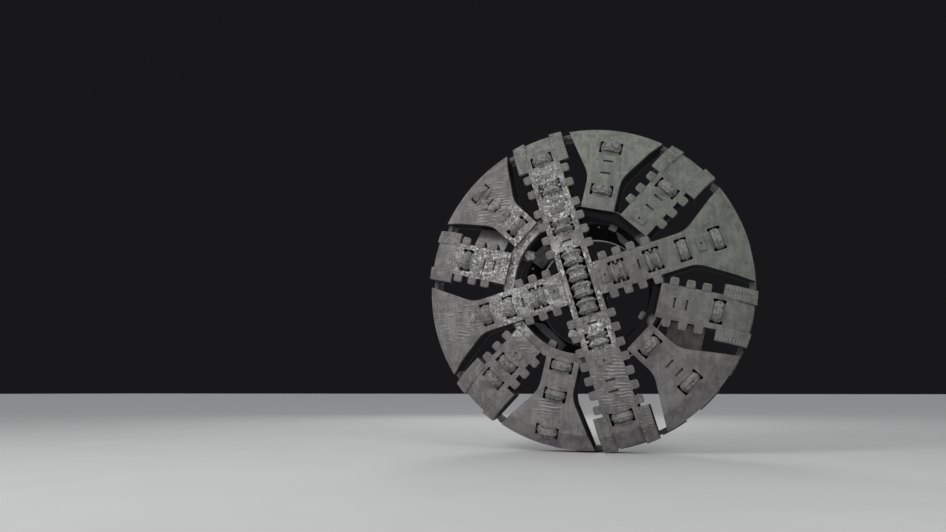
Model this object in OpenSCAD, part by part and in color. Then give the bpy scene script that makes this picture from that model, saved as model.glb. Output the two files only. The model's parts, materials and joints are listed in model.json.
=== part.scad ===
// Cutterhead of an earth pressure tunnel boring machine, with disc cutters that turn.
// Millimetres. The head is drawn face up, axis on Z and rear flange at Z 0, and head_frame() then
// turns its face to -Y, as it stands in the machine. Arms are numbered 0 to 11 round the face, at
// 30 degree steps: odd arms are straight spokes with edge scrapers, even arms are flared panels.

/* [Head] */
// Outer radius of the welded structure
head_r = 3250; // [3150:10:3350]
// Height of the face above the rear flange
face_z = 1700; // [1600:10:1850]
// Depth of the spokes and panels
box_d = 560; // [500:10:640]
// Thickness of the face plates
face_t = 80; // [50:5:110]
// Thickness of the side and end walls
wall_t = 60; // [40:5:75]
// How far the head has turned from arm 0 level, in degrees
spin_deg = 15.6; // [0:0.1:359.9]
// Width of the bevel round the face
bevel_w = 300; // [200:10:340]
// Drop of the bevel at the rim
bevel_drop = 150; // [80:10:200]

/* [Arms] */
// Width of the main beam
beam_w = 690; // [660:10:720]
// Width of the straight spokes
spoke_w = 670; // [640:10:690]
// Width of the inner part of the panels
panel_w = 670; // [640:10:690]
// Radius at which the panels start to flare
flare_r = 2230; // [2150:10:2300]
// Half the angle that a panel takes at the rim, in degrees
flare_deg = 17.3; // [16:0.1:18]
// Radius that rounds the start of the flare
flare_round = 500; // [300:50:700]

/* [Rings] */
// Distance from the axis to the inner ends of the spokes and panels
arm_x0 = 1545; // [1530:5:1560]
// Inner radius of the middle ring
mid_r = 1390; // [1350:5:1420]
// Width of the middle ring
mid_t = 215; // [190:5:240]
// How far the middle ring's front lies behind the face
mid_drop = 100; // [85:5:150]
// Thickness of the rim ring
rim_t = 80; // [60:5:100]
// Height of the rim ring's lower edge below the back of the spokes
rim_drop = 60; // [0:10:120]
// Height of the rim ring
rim_h = 300; // [240:10:360]
// Number of wear bars round the rim
wear_count = 24; // [12:1:30]
// Angle that each wear bar covers, in degrees
wear_deg = 9; // [5:0.5:10]
// Height of the wear bars
wear_h = 200; // [120:10:220]
// Thickness of the wear bars
wear_t = 26; // [15:1:35]

/* [Cutters] */
// Radius of a cutter ring, a 17 inch disc
ring_r = 216; // [200:1:222]
// How far a cutter ring's tip stands out of the face
tip_h = 150; // [120:5:170]
// Distance between the two rings of a twin cutter
twin_gap = 172; // [166:2:176]
// Radius of the shaft
shaft_r = 55; // [45:1:65]
// Radius of a cutter's hub
hub_r = 128; // [120:1:140]
// Width of a single cutter's hub
hub_w = 168; // [160:2:176]
// Width of a twin cutter's hub
twin_w = 264; // [260:2:270]
// Depth of the pocket round a cutter
pocket_d = 400; // [380:5:440]
// Length of the window round a cutter, along its track
window_l = 464; // [456:2:490]
// Thickness of the saddle block at each end of a shaft
saddle_t = 27; // [20:1:32]
// Width of a saddle block
saddle_w = 150; // [130:5:180]
// Depth of a saddle block below the shaft
saddle_d = 170; // [130:5:200]
// Number of twin cutters in the centre row
centre_count = 4; // [4:1:4]
// Distance between the centre row's cutters
centre_pitch = 344; // [336:2:356]
// How far the centre row is off the head's axis
centre_off = 42; // [30:1:50]

/* [Scrapers] */
// Width of an edge scraper
tooth_w = 164; // [140:2:170]
// How far an edge scraper stands out of its spoke
tooth_l = 148; // [120:2:150]
// Thickness of an edge scraper
tooth_t = 90; // [60:5:120]
// Radius of a scraper's corners
tooth_round = 42; // [20:1:60]
// How far a scraper stands above the face
tooth_lift = 14; // [0:1:30]
// How far the gauge buckets cut outside the structure
gauge_over = 50; // [30:5:100]
// How far a gauge bucket stands out of its spoke
bucket_out = 200; // [170:5:210]
// How far a gauge bucket reaches over its spoke
bucket_in = 60; // [45:5:65]
// Depth of a gauge bucket
bucket_d = 420; // [340:10:460]

/* [Rear] */
// Outer radius of the rear flange
flange_r = 1560; // [1540:5:1600]
// Radius of the pilot bore in the rear flange
pilot_r = 1200; // [1150:5:1210]
// Thickness of the rear flange
flange_t = 160; // [120:5:200]
// Number of bolts in the rear flange
bolt_count = 40; // [24:1:48]
// Radius of the bolt circle
bolt_pcr = 1490; // [1470:5:1500]
// Radius of a bolt hole
bolt_r = 26; // [20:1:30]
// Width of a support leg, along the ring
leg_w = 700; // [600:10:720]
// Outer radius of the centre tube
tube_r = 260; // [240:5:280]
// Radius of the bore that takes the rotary joint
joint_r = 200; // [180:5:210]
// Depth of the bore that takes the rotary joint
joint_d = 300; // [200:10:400]
// Height of the centre tube's rear end
tube_z = 220; // [200:5:300]

/* [Hidden] */
$fn = 96;
wide_fn = 240;
// Gap left between curved faces that would touch
seat_gap = 0.3;
// Running clearance of a cutter on its shaft
shaft_play = 0.06;
arm_step = 30;
back_z = face_z - box_d;
mid_out = mid_r + mid_t;
ring_top = face_z - mid_drop;
rim_in = head_r - rim_t;
rim_z0 = back_z - rim_drop;
rim_z1 = rim_z0 + rim_h;
far = 2 * head_r;
gauge_r = head_r + gauge_over;
// Plates across the arms, in spokes and in panels
spoke_rib_r = 2180;
panel_rib_r = 2620;

// The radii in these tables are for a head of radius table_r. place_r() spreads those outside the
// middle ring when the head's own radius differs.
table_r = 3250;
function place_r(r) = r < mid_out ? r : mid_out + (r - mid_out) * (head_r - mid_out) / (table_r - mid_out);

// Cutters away from the centre. Columns: arm, radius, rings, tilt towards the rim in degrees.
CUTTERS = [
    [0, 787, 2, 0], [0, 1487, 2, 0], [0, 2075, 1, 0], [0, 2720, 1, 0],
    [6, 892, 2, 0], [6, 1530, 1, 0], [6, 2037, 1, 0],
    [3, 1257, 2, 0], [3, 2110, 2, 0], [3, 2748, 1, 0],
    [9, 1157, 2, 0], [9, 2700, 1, 0],
    [2, 1945, 1, 0], [2, 2837, 1, 0],
    [8, 1682, 1, 0], [8, 2257, 1, 0], [8, 3045, 1, 24],
    [4, 1797, 1, 0], [4, 2960, 1, 14],
    [10, 1817, 1, 0], [10, 2790, 1, 0],
    [1, 2515, 1, 0],
    [7, 2187, 1, 0], [7, 2607, 1, 0],
    [5, 2480, 1, 0],
    [11, 2640, 1, 0]
];

// Edge scrapers on both sides of an arm. Columns: arm, radii.
TEETH = [
    [0, [580, 870, 1155, 1455]], [6, [605, 905, 1200]],
    [3, [755, 1055, 1355, 1655, 2095, 2425]], [9, [737, 1025, 1325, 1610, 1893, 2175, 2460]],
    [1, [1920, 2206, 2512]], [5, [1968, 2258, 2583]], [7, [1783, 2081, 2375]], [11, [1770, 2075, 2370]]
];
// Gauge buckets at the outer end of an arm, on both sides. Columns: arm, radius of the inner end.
BUCKETS = [[3, 2595], [9, 2600], [1, 2675], [5, 2725], [7, 2540], [11, 2675]];
// Blind slits across the face of an arm, for tools that are not fitted. Columns: arm, radii.
SLITS = [
    [0, [1205]], [6, [1225]], [3, [925]], [9, [825, 1975, 2192]], [10, [2300, 2530]],
    [11, [1845, 2070]], [5, [1850, 2075]], [2, [2307, 2557]], [1, [2020, 2270]], [4, [2400, 2620]]
];
slit_l = 200;
slit_w = 42;
slit_d = 50;
// Foam nozzles. Columns: arm, radius.
NOZZLES = [[0, 520], [6, 540], [3, 1615], [9, 1590], [1, 1725], [7, 1900], [4, 2180], [0, 2420]];
nozzle_l = 290;
nozzle_w = 150;
nozzle_t = 34;
nozzle_r = 24;
// Joints where the inner and outer plates of an arm meet, in the middle of its bend. Columns: arm, radius.
SEAMS = [[0, 2232], [4, 2222], [10, 2222]];

function pad(n) = n < 10 ? str("0", n) : str(n);
function centre_name(i) = str("centre_cutter_", i + 1);
function cutter_name(i) = str("cutter_", pad(i + 1));
function is_twin(c) = c[2] == 2;
function hub_width(c) = is_twin(c) ? twin_w : hub_w;
function window_width(c) = hub_width(c) + 2 * (saddle_t + play);
function half_width(k) = k == 3 || k == 9 ? beam_w / 2 : k % 2 == 1 ? spoke_w / 2 : panel_w / 2;
play = 5.5;
SPOKES = [1, 5, 7, 11];
PANELS = [2, 4, 8, 10];
function spoke_name(i) = str("spoke_", i + 1);
function panel_name(i) = str("panel_", i + 1);

// Frames

module head_frame() {
    rotate([90, 0, 0]) children();
}

module on_arm(k) {
    rotate([0, 0, spin_deg + arm_step * k]) children();
}

// Bevelled body of revolution that every arm is cut from. inset is how far inside the surface it lies.
module envelope(inset, low_z) {
    bevel_r = head_r - bevel_w;
    slope = bevel_drop / bevel_w;
    outer = head_r - inset;
    top = face_z - inset * (inset > 0 ? face_t / wall_t : 1);
    rotate_extrude($fn = wide_fn)
        polygon([[0, low_z], [outer, low_z], [outer, top - slope * (outer - bevel_r)],
                 [bevel_r, top], [0, top]]);
}

module tube_wall(r_in, r_out, z0, z1) {
    translate([0, 0, z0]) difference() {
        cylinder(r = r_out, h = z1 - z0, $fn = wide_fn);
        translate([0, 0, -1]) cylinder(r = r_in, h = z1 - z0 + 2, $fn = wide_fn);
    }
}

// Space that the rim ring takes, with the gap to its curved wall
module rim_seat() {
    tube_wall(rim_in - seat_gap, far, rim_z0 - 1, rim_z1);
}

// Half outline of a flared panel: along its side, round the bend and out past the rim
function panel_side(inset) =
    let (half = panel_w / 2 - inset,
         start = place_r(flare_r),
         rim = [head_r * cos(flare_deg), head_r * sin(flare_deg)],
         slope = atan2(rim[1] - panel_w / 2, rim[0] - start),
         bend = flare_round * tan(slope / 2),
         steps = 6)
    concat(
        [for (i = [0:steps]) let (a = slope * i / steps)
            [start - bend + flare_round * sin(a), half + flare_round * (1 - cos(a))]],
        [[far * cos(slope), half + (far * cos(slope) - start) * tan(slope)]]
    );

module panel_plan(inset, start) {
    side = panel_side(inset);
    polygon(concat(
        [[start, -side[0][1]], [start, side[0][1]]],
        side,
        [for (i = [len(side) - 1:-1:0]) [side[i][0], -side[i][1]]]
    ));
}

// Cutters

module place_cutter(c) {
    on_arm(c[0])
        translate([place_r(c[1]) - ring_r * sin(c[3]), 0,
                   surface_z(place_r(c[1])) + tip_h - ring_r * cos(c[3])])
            rotate([0, c[3], 0]) children();
}

function surface_z(r) = face_z - max(0, r - (head_r - bevel_w)) * bevel_drop / bevel_w;

// Section of a hub with its rings: a ring narrows from its seat to a blunt tip
single_seat = 44;
twin_seat = 34;
hub_edge = 8;
function rotor_points(half, rings) = let (seat = len(rings) > 1 ? twin_seat : single_seat) concat(
    [[shaft_r + shaft_play, -half], [hub_r - 30, -half], [hub_r - hub_edge, -half + hub_edge]],
    [for (x = rings) for (p = [[hub_r, x - seat], [hub_r + 8, x - seat], [hub_r + 8, x - seat + 4],
                               [ring_r - 42, x - seat + 6], [ring_r - 6, x - 15], [ring_r, x - 9],
                               [ring_r, x + 9], [ring_r - 6, x + 15], [ring_r - 42, x + seat - 6],
                               [hub_r + 8, x + seat - 4], [hub_r + 8, x + seat], [hub_r, x + seat]]) p],
    [[hub_r - hub_edge, half - hub_edge], [hub_r - 30, half], [shaft_r + shaft_play, half]]
);

module rotor(half, rings) {
    color("dimgray") rotate([0, 90, 0])
        rotate_extrude($fn = 96) polygon(rotor_points(half, rings));
}

module cutter(c) {
    place_cutter(c)
        rotor(hub_width(c) / 2, is_twin(c) ? [-twin_gap / 2, twin_gap / 2] : [0]);
}

centre_z = face_z + tip_h - ring_r;
centre_hub = centre_pitch - 40 - 2 * play;
function centre_x(i) = (i - (centre_count - 1) / 2) * centre_pitch + centre_off;

module centre_cutter(i) {
    on_arm(3) translate([centre_x(i), 0, centre_z])
        rotor(centre_hub / 2, [-twin_gap / 2, twin_gap / 2]);
}

centre_x0 = centre_x(0) - centre_hub / 2 - play - saddle_t;
centre_x1 = centre_x(centre_count - 1) + centre_hub / 2 + play + saddle_t;

module saddle(x, t) {
    translate([x - t / 2, -saddle_w / 2, -saddle_d]) cube([t, saddle_w, saddle_d + shaft_r + 15]);
}

// Shafts with their saddle blocks, one solid to a cutter and one for the centre row
module cutter_shafts() {
    color("slategray") {
        for (c = CUTTERS) place_cutter(c) {
            w = window_width(c);
            translate([-w / 2, 0, 0]) rotate([0, 90, 0]) cylinder(r = shaft_r, h = w);
            for (s = [-1, 1]) saddle(s * (w - saddle_t) / 2, saddle_t);
        }
        on_arm(3) translate([0, 0, centre_z]) {
            translate([centre_x0, 0, 0]) rotate([0, 90, 0]) cylinder(r = shaft_r, h = centre_x1 - centre_x0);
            saddle(centre_x0 + saddle_t / 2, saddle_t);
            saddle(centre_x1 - saddle_t / 2, saddle_t);
            for (i = [0:centre_count - 2])
                translate([centre_x(i) + centre_pitch / 2 - 20, -saddle_w / 2, -saddle_d - 60])
                    cube([40, saddle_w, saddle_d + 60 + shaft_r + 15]);
        }
    }
}

// Height of the face above a cutter's axis
cutter_z = ring_r - tip_h;

// Pocket in the arm for a cutter, drawn in the cutter's own frame. A lug of the face plate stands
// in each end of a twin's window, between its rings.
lug_w = 44;
lug_l = 70;
module window(c) {
    w = window_width(c);
    place_cutter(c) difference() {
        translate([-w / 2, -window_l / 2, cutter_z - pocket_d]) cube([w, window_l, 2 * box_d]);
        if (is_twin(c)) for (s = [-1, 1])
            translate([-lug_w / 2, s * window_l / 2 - lug_l, cutter_z - face_t])
                cube([lug_w, 2 * lug_l, face_t]);
    }
}

// Walls and floor round that pocket
module housing(c) {
    w = window_width(c) + 2 * housing_t;
    place_cutter(c) translate([-w / 2, -window_l / 2 - housing_t, cutter_z - pocket_d - housing_t])
        cube([w, window_l + 2 * housing_t, 2 * box_d]);
}
housing_t = 34;

module cut_windows(k) {
    for (c = CUTTERS) if (c[0] == k) window(c);
}

module cut_slits(k) {
    for (p = SLITS) if (p[0] == k) for (r = p[1])
        on_arm(k) translate([place_r(r) - slit_w / 2, -slit_l / 2, face_z - slit_d])
            cube([slit_w, slit_l, slit_d + 1]);
}

module cut_seams(k) {
    for (p = SEAMS) if (p[0] == k) on_arm(k)
        translate([place_r(p[1]) - seat_gap / 2, -far, back_z - 1]) cube([seat_gap, 2 * far, box_d + 2]);
}

// Recess at a spoke's outer end that a gauge bucket seats in
module cut_bucket_seats(k) {
    for (b = BUCKETS) if (b[0] == k) on_arm(k) for (s = [-1, 1])
        translate([place_r(b[1]), s * half_width(k) - bucket_in, face_z - bucket_d * 0.6])
            cube([far, 2 * bucket_in, bucket_d]);
}

// Arms

// Straight hollow arm from r0 to the rim, in the arm's frame
module straight_outer(r0, half) {
    translate([r0, -half, back_z]) cube([far, 2 * half, box_d + 1]);
}

module straight_core(r0, half) {
    translate([r0 + wall_t, -half + wall_t, back_z - 1])
        cube([far, 2 * (half - wall_t), box_d + 1]);
}

module rib(r, half) {
    translate([r - wall_t / 2, -half, back_z]) cube([wall_t, 2 * half, box_d]);
}

// Space of the middle ring, which an arm's inner end stands on
module mid_ring_seat() {
    translate([0, 0, back_z - 2]) cylinder(r = mid_out + seat_gap, h = ring_top - back_z + 2, $fn = wide_fn);
}

module spoke(k) {
    half = spoke_w / 2;
    color("gray") difference() {
        intersection() {
            envelope(0, back_z);
            on_arm(k) straight_outer(arm_x0, half);
        }
        difference() {
            intersection() {
                envelope(wall_t, back_z - 1);
                on_arm(k) straight_core(mid_out, half);
            }
            for (c = CUTTERS) if (c[0] == k) housing(c);
            on_arm(k) rib(place_r(spoke_rib_r), half);
        }
        mid_ring_seat();
        rim_seat();
        cut_windows(k);
        cut_slits(k);
        cut_bucket_seats(k);
    }
}

module panel(k) {
    color("gray") difference() {
        intersection() {
            envelope(0, back_z);
            on_arm(k) translate([0, 0, back_z]) linear_extrude(box_d + 1) panel_plan(0, arm_x0);
        }
        difference() {
            intersection() {
                envelope(wall_t, back_z - 1);
                on_arm(k) translate([0, 0, back_z - 1])
                    linear_extrude(box_d + 1) panel_plan(wall_t, mid_out + wall_t);
            }
            for (c = CUTTERS) if (c[0] == k) housing(c);
            on_arm(k) rib(place_r(panel_rib_r), far);
        }
        mid_ring_seat();
        rim_seat();
        cut_windows(k);
        cut_slits(k);
        cut_seams(k);
    }
}

// Arms 0 and 6, welded to the sides of the beam
module side_arm(k) {
    color("gray") difference() {
        intersection() {
            envelope(0, back_z);
            on_arm(k) translate([0, 0, back_z])
                linear_extrude(box_d + 1) panel_plan(0, beam_w / 2);
        }
        difference() {
            intersection() {
                envelope(wall_t, back_z - 1);
                on_arm(k) translate([0, 0, back_z - 1])
                    linear_extrude(box_d + 1) panel_plan(wall_t, beam_w / 2 + wall_t);
            }
            for (c = CUTTERS) if (c[0] == k) housing(c);
            on_arm(k) for (r = [mid_r + mid_t / 2, place_r(panel_rib_r)]) rib(r, far);
        }
        rim_seat();
        cut_windows(k);
        cut_slits(k);
        cut_seams(k);
    }
}

// Arms 3 and 9 in one beam through the centre
module main_beam() {
    half = beam_w / 2;
    color("gray") difference() {
        intersection() {
            envelope(0, back_z);
            on_arm(3) straight_outer(-far / 2, half);
        }
        difference() {
            intersection() {
                envelope(wall_t, back_z - 1);
                on_arm(3) straight_core(-far / 2, half);
            }
            for (c = CUTTERS) if (c[0] == 3 || c[0] == 9) housing(c);
            on_arm(3) {
                translate([centre_x0 - housing_t, -half, face_z - pocket_d - housing_t])
                    cube([centre_x1 - centre_x0 + 2 * housing_t, beam_w, box_d]);
                for (r = [-1, 1] * (mid_r + mid_t / 2)) rib(r, half);
            }
        }
        on_arm(3) translate([centre_x0, -window_l / 2, face_z - pocket_d])
            cube([centre_x1 - centre_x0, window_l, box_d]);
        rim_seat();
        for (k = [3, 9]) {
            cut_windows(k);
            cut_slits(k);
            cut_bucket_seats(k);
        }
    }
}

// Rings

// Four lengths of a heavy ring between the beam and the side arms. A pocket close to it cuts into it.
module mid_ring() {
    color("gray") difference() {
        tube_wall(mid_r, mid_out, back_z, ring_top);
        for (c = CUTTERS) if (c[0] % 3 > 0 && place_r(c[1]) - window_width(c) / 2 < mid_out) window(c);
        on_arm(3) translate([-far / 2, -beam_w / 2, back_z - 1]) cube([far, beam_w, box_d + 2]);
        on_arm(0) translate([-far / 2, -panel_w / 2, back_z - 1]) cube([far, panel_w, box_d + 2]);
    }
}

module rim_ring() {
    color("gray") tube_wall(rim_in, head_r, rim_z0, rim_z1);
}

module rim_wear_bars() {
    z0 = (rim_z0 + rim_z1 - wear_h) / 2;
    color("darkgray") for (i = [0:wear_count - 1])
        rotate([0, 0, spin_deg + i * 360 / wear_count - wear_deg / 2])
            rotate_extrude(angle = wear_deg, $fn = wide_fn)
                translate([head_r + seat_gap, z0]) square([wear_t, wear_h]);
}

// Tools on the face

// Scraper in its own frame: root on the arm's side at Y 0, cutting edge at +Y. A deep one stands on
// a wedge down the arm's side, and one over the middle ring has no room for it.
tooth_root = 240;
tooth_nose = 62;
module tooth(deep = true) {
    r = tooth_round;
    h = tooth_root + 2;
    translate([0, 0, face_z + tooth_lift]) intersection() {
        translate([0, 0, -tooth_root - 1]) union() {
            translate([-tooth_w / 2, 0, 0]) cube([tooth_w, tooth_l - r, h]);
            translate([r - tooth_w / 2, 0, 0]) cube([tooth_w - 2 * r, tooth_l, h]);
            for (s = [-1, 1]) translate([s * (tooth_w / 2 - r), tooth_l - r, 0])
                cylinder(r = r, h = h, $fn = 32);
        }
        rotate([90, 0, 90]) translate([0, 0, -tooth_w]) linear_extrude(2 * tooth_w) polygon(deep
            ? [[0, 0], [tooth_l - 60, 0], [tooth_l, -16], [tooth_l, -tooth_nose],
               [tooth_l / 2, -tooth_root], [0, -tooth_root]]
            : [[0, 0], [tooth_l - 60, 0], [tooth_l, -16], [tooth_l, -tooth_nose],
               [tooth_l * 0.8, -tooth_t], [0, -tooth_t]]);
    }
}

function over_ring(r) = r + tooth_w > mid_r - 100 && r - tooth_w / 2 < mid_out;
ring_tooth_in = 20;
ring_tooth_drop = 330;
module edge_scrapers() {
    color("gray") {
        for (t = TEETH) on_arm(t[0]) for (r = t[1]) for (s = [0, 1])
            mirror([0, s, 0]) translate([place_r(r), half_width(t[0]), 0]) tooth(!over_ring(place_r(r)));
        for (a = [45:90:315]) rotate([0, 0, spin_deg + a]) difference() {
            translate([mid_r + ring_tooth_in, 0, -ring_tooth_drop]) rotate([0, 0, 90]) tooth();
            tube_wall(mid_r - seat_gap, far, 0, 2 * face_z);
        }
    }
}

// Bucket in its spoke's frame, on the +Y side, from radius x0 out
module bucket(x0, half) {
    translate([x0, half + seat_gap, face_z - bucket_d]) cube([far, bucket_out, bucket_d + 60]);
    translate([x0, half - bucket_in, face_z - bucket_d * 0.6]) cube([far, bucket_in + 1, bucket_d]);
}

module gauge_buckets() {
    grow = gauge_r - head_r;
    color("darkgray") difference() {
        intersection() {
            rotate_extrude($fn = wide_fn) polygon([
                [0, 0], [gauge_r, 0], [gauge_r, face_z - bevel_drop + 10],
                [head_r - bevel_w + grow, face_z + 12], [0, face_z + 12]]);
            for (b = BUCKETS) on_arm(b[0]) for (s = [0, 1])
                mirror([0, s, 0]) bucket(place_r(b[1]), half_width(b[0]));
        }
        rim_seat();
    }
}

module foam_nozzles() {
    color("darkgray") for (n = NOZZLES) on_arm(n[0]) translate([place_r(n[1]), 0, face_z]) difference() {
        translate([-nozzle_w / 2, -nozzle_l / 2, 0]) cube([nozzle_w, nozzle_l, nozzle_t]);
        translate([0, 0, -1]) cylinder(r = nozzle_r, h = nozzle_t + 2);
    }
}

// Sloping plate beside arms 5 and 11 that leads muck back from the face
chute_r = 1800;
chute_l = 680;
chute_out = 565;
chute_top = 240;
chute_fall = 280;
chute_t = 50;
module muck_chutes() {
    half = spoke_w / 2;
    for (k = [5, 11]) color("gray") difference() {
        on_arm(k) translate([place_r(chute_r), 0, face_z - chute_top]) rotate([90, 0, 90])
            linear_extrude(chute_l)
                polygon([[-half, -chute_t], [-half, 0], [-half - chute_out, -chute_fall],
                         [-half - chute_out, -chute_fall - chute_t]]);
        on_arm(k - 1) translate([0, 0, back_z - 200])
            linear_extrude(box_d + 400) panel_plan(0, arm_x0);
    }
}

// Rear

// Sloping legs from the flange to the middle ring
leg_in = 100;
module support_legs() {
    color("gray") for (k = [1:3:10]) on_arm(k)
        translate([0, leg_w / 2, 0]) rotate([90, 0, 0]) linear_extrude(leg_w)
            polygon([[pilot_r + 30, flange_t], [pilot_r + 220, flange_t],
                     [mid_out, back_z], [mid_r - leg_in, back_z]]);
}

module rear_flange() {
    color("dimgray") difference() {
        tube_wall(pilot_r, flange_r, 0, flange_t);
        for (i = [0:bolt_count - 1]) rotate([0, 0, spin_deg + (i + 0.5) * 360 / bolt_count])
            translate([bolt_pcr, 0, -1]) cylinder(r = bolt_r, h = flange_t + 2);
    }
}

joint_pcr = 300;
joint_bolts = 12;
joint_bolt_r = 13;
tube_plate_r = 460;
tube_plate_t = 60;
module centre_tube() {
    color("dimgray") difference() {
        union() {
            translate([0, 0, tube_z]) cylinder(r = tube_r, h = back_z - tube_z - 1);
            translate([0, 0, tube_z]) cylinder(r = joint_pcr + 45, h = 50);
            translate([0, 0, back_z - tube_plate_t]) cylinder(r = tube_plate_r, h = tube_plate_t);
        }
        translate([0, 0, tube_z - 1]) cylinder(r = joint_r, h = joint_d + 1);
        for (i = [0:joint_bolts - 1]) rotate([0, 0, (i + 0.5) * 360 / joint_bolts])
            translate([joint_pcr, 0, tube_z - 1]) cylinder(r = joint_bolt_r, h = 52);
    }
}

// Lines from the centre tube's plate to the arms, each along an arm's wall
pipe_r = 30;
module foam_lines() {
    color("slategray") for (k = [0:3:9]) on_arm(k) {
        y = half_width(k) - wall_t / 2;
        x0 = sqrt(tube_plate_r * tube_plate_r - (y - pipe_r) * (y - pipe_r)) + seat_gap;
        translate([x0, y, back_z - pipe_r - seat_gap]) rotate([0, 90, 0])
            cylinder(r = pipe_r, h = mid_r - leg_in - 100 - x0);
    }
}

// Bars behind the spokes that stir the muck, each on a plate
bar_l = 430;
bar_r = 2190;
bar_plate_l = 200;
bar_plate_t = 50;
module mixing_bars() {
    color("gray") for (k = SPOKES) on_arm(k) translate([place_r(bar_r), 0, back_z - bar_plate_t]) {
        translate([-bar_plate_l / 2, -spoke_w / 2, 0]) cube([bar_plate_l, spoke_w, bar_plate_t]);
        translate([0, 0, -bar_l]) cylinder(r1 = 70, r2 = 95, h = bar_l + 1, $fn = 48);
    }
}

head_frame() main_beam();
head_frame() side_arm(0);  // side_arm_1
head_frame() side_arm(6);  // side_arm_2
head_frame() mid_ring();
head_frame() rim_ring();
head_frame() rim_wear_bars();
head_frame() support_legs();
head_frame() rear_flange();
head_frame() centre_tube();
head_frame() foam_lines();
head_frame() foam_nozzles();
head_frame() edge_scrapers();
head_frame() gauge_buckets();
head_frame() muck_chutes();
head_frame() mixing_bars();
head_frame() cutter_shafts();
for (i = [0:len(SPOKES) - 1])
    head_frame() spoke(SPOKES[i]);
for (i = [0:len(PANELS) - 1])
    head_frame() panel(PANELS[i]);
for (i = [0:centre_count - 1])
    head_frame() centre_cutter(i);
for (i = [0:len(CUTTERS) - 1])
    head_frame() cutter(CUTTERS[i]);
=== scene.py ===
import json
import math

import bmesh
import bpy
from mathutils import Matrix, Vector, noise
from mathutils.bvhtree import BVHTree


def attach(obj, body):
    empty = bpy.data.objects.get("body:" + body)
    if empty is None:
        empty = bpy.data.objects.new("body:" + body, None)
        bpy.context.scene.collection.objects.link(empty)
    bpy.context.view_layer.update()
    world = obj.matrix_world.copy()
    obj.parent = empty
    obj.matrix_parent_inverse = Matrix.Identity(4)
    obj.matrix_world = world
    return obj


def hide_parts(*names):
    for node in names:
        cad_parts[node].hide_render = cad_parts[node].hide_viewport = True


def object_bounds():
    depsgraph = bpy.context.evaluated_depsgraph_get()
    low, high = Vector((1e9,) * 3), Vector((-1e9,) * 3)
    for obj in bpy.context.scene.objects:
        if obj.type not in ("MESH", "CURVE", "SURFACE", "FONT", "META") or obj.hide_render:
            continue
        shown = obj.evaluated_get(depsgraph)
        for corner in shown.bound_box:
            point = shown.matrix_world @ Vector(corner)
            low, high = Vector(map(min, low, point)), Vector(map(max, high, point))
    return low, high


bl_info = {
    "name": "Cutterhead looks",
    "version": (1, 0, 0),
    "blender": (4, 5, 0),
    "location": "3D View > Sidebar > Cutterhead",
    "description": "Dresses a tunnel boring machine cutterhead with slurry, cutters, tools and welds",
    "category": "Object",
}

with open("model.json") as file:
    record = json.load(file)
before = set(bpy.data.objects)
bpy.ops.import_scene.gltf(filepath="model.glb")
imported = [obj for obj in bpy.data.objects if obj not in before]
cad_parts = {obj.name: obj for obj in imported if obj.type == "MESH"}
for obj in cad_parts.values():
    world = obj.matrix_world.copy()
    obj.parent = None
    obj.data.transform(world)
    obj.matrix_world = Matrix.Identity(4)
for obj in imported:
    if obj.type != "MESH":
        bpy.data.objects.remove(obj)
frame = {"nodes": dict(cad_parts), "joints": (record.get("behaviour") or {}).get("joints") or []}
CAD_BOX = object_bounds()
NODES = frame["nodes"]
JOINTS = {j["child"]: j for j in frame["joints"]}

# Layout of the head, in metres. The face looks to -Y, and arm k points at SPIN + 30 k degrees.
SPIN = 15.6
FACE = 1.700
HEAD_R = 3.250
BEVEL_W = 0.300
BEVEL_DROP = 0.150
HALF_BEAM = 0.345
HALF_SPOKE = 0.335
HALF_PANEL = 1.020
PANEL_START = 1.550
MID_R = 1.390
MID_OUT = 1.605
RING_TOP = 1.600
BACK = 1.140
SHAFT_R = 0.055
HUB_R = 0.128
RING_R = 0.216
TWIN_FROM = 0.100
TWIN_OFFSET = 0.086
TWIN_SEAT = 0.034
SINGLE_SEAT = 0.044
SADDLE_T = 0.027
PLAY = 0.0055
SCRAPER_W = 0.164
SCRAPER_L = 0.148
SCRAPER_LIFT = 0.014
SCRAPER_FALL = math.atan2(0.016, 0.060)
SCRAPERS = {
    0: (0.580, 0.870, 1.155, 1.455),
    6: (0.605, 0.905, 1.200),
    3: (0.755, 1.055, 1.355, 1.655, 2.095, 2.425),
    9: (0.737, 1.025, 1.325, 1.610, 1.893, 2.175, 2.460),
    1: (1.920, 2.206, 2.512),
    5: (1.968, 2.258, 2.583),
    7: (1.783, 2.081, 2.375),
    11: (1.770, 2.075, 2.370),
}
BUCKETS = {3: 2.595, 9: 2.600, 1: 2.675, 5: 2.725, 7: 2.540, 11: 2.675}
NOZZLES = ((0, 0.520), (6, 0.540), (3, 1.615), (9, 1.590), (1, 1.725), (7, 1.900), (4, 2.180), (0, 2.420))
# Nozzle blocks: their height, the places of their screws, and half their length and width at the welds
NOZZLE_LIFT, NOZZLE_SCREWS, NOZZLE_HALF = 0.034, (0.050, 0.112), (0.075, 0.145)
# Section of the rubber flap ring on a nozzle: radius and height of each corner
FLAP_SECTION = (
    (0.024, -0.006), (0.046, -0.006), (0.046, 0.006), (0.041, 0.010), (0.028, 0.010), (0.024, 0.006),
)
# Support legs: the radii of their two plates, half their width, and the height of their lower welds
LEG_PLATES, LEG_HALF, LEG_FOOT = (1.230, 1.420), 0.350, 0.160
# Centre tube: its radius, and the Y of its two round welds
TUBE_R, TUBE_WELDS = 0.260, (-0.270, -1.080)
ARM_NODE = {0: "side_arm_1", 6: "side_arm_2", 3: "main_beam", 9: "main_beam", 1: "spoke_1", 5: "spoke_2",
            7: "spoke_3", 11: "spoke_4", 2: "panel_1", 4: "panel_2", 8: "panel_3", 10: "panel_4"}
# The steel is searched from this Y, and counts as front where its normal looks ahead this much
AHEAD, FORWARD = -2.300, -0.8
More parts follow.
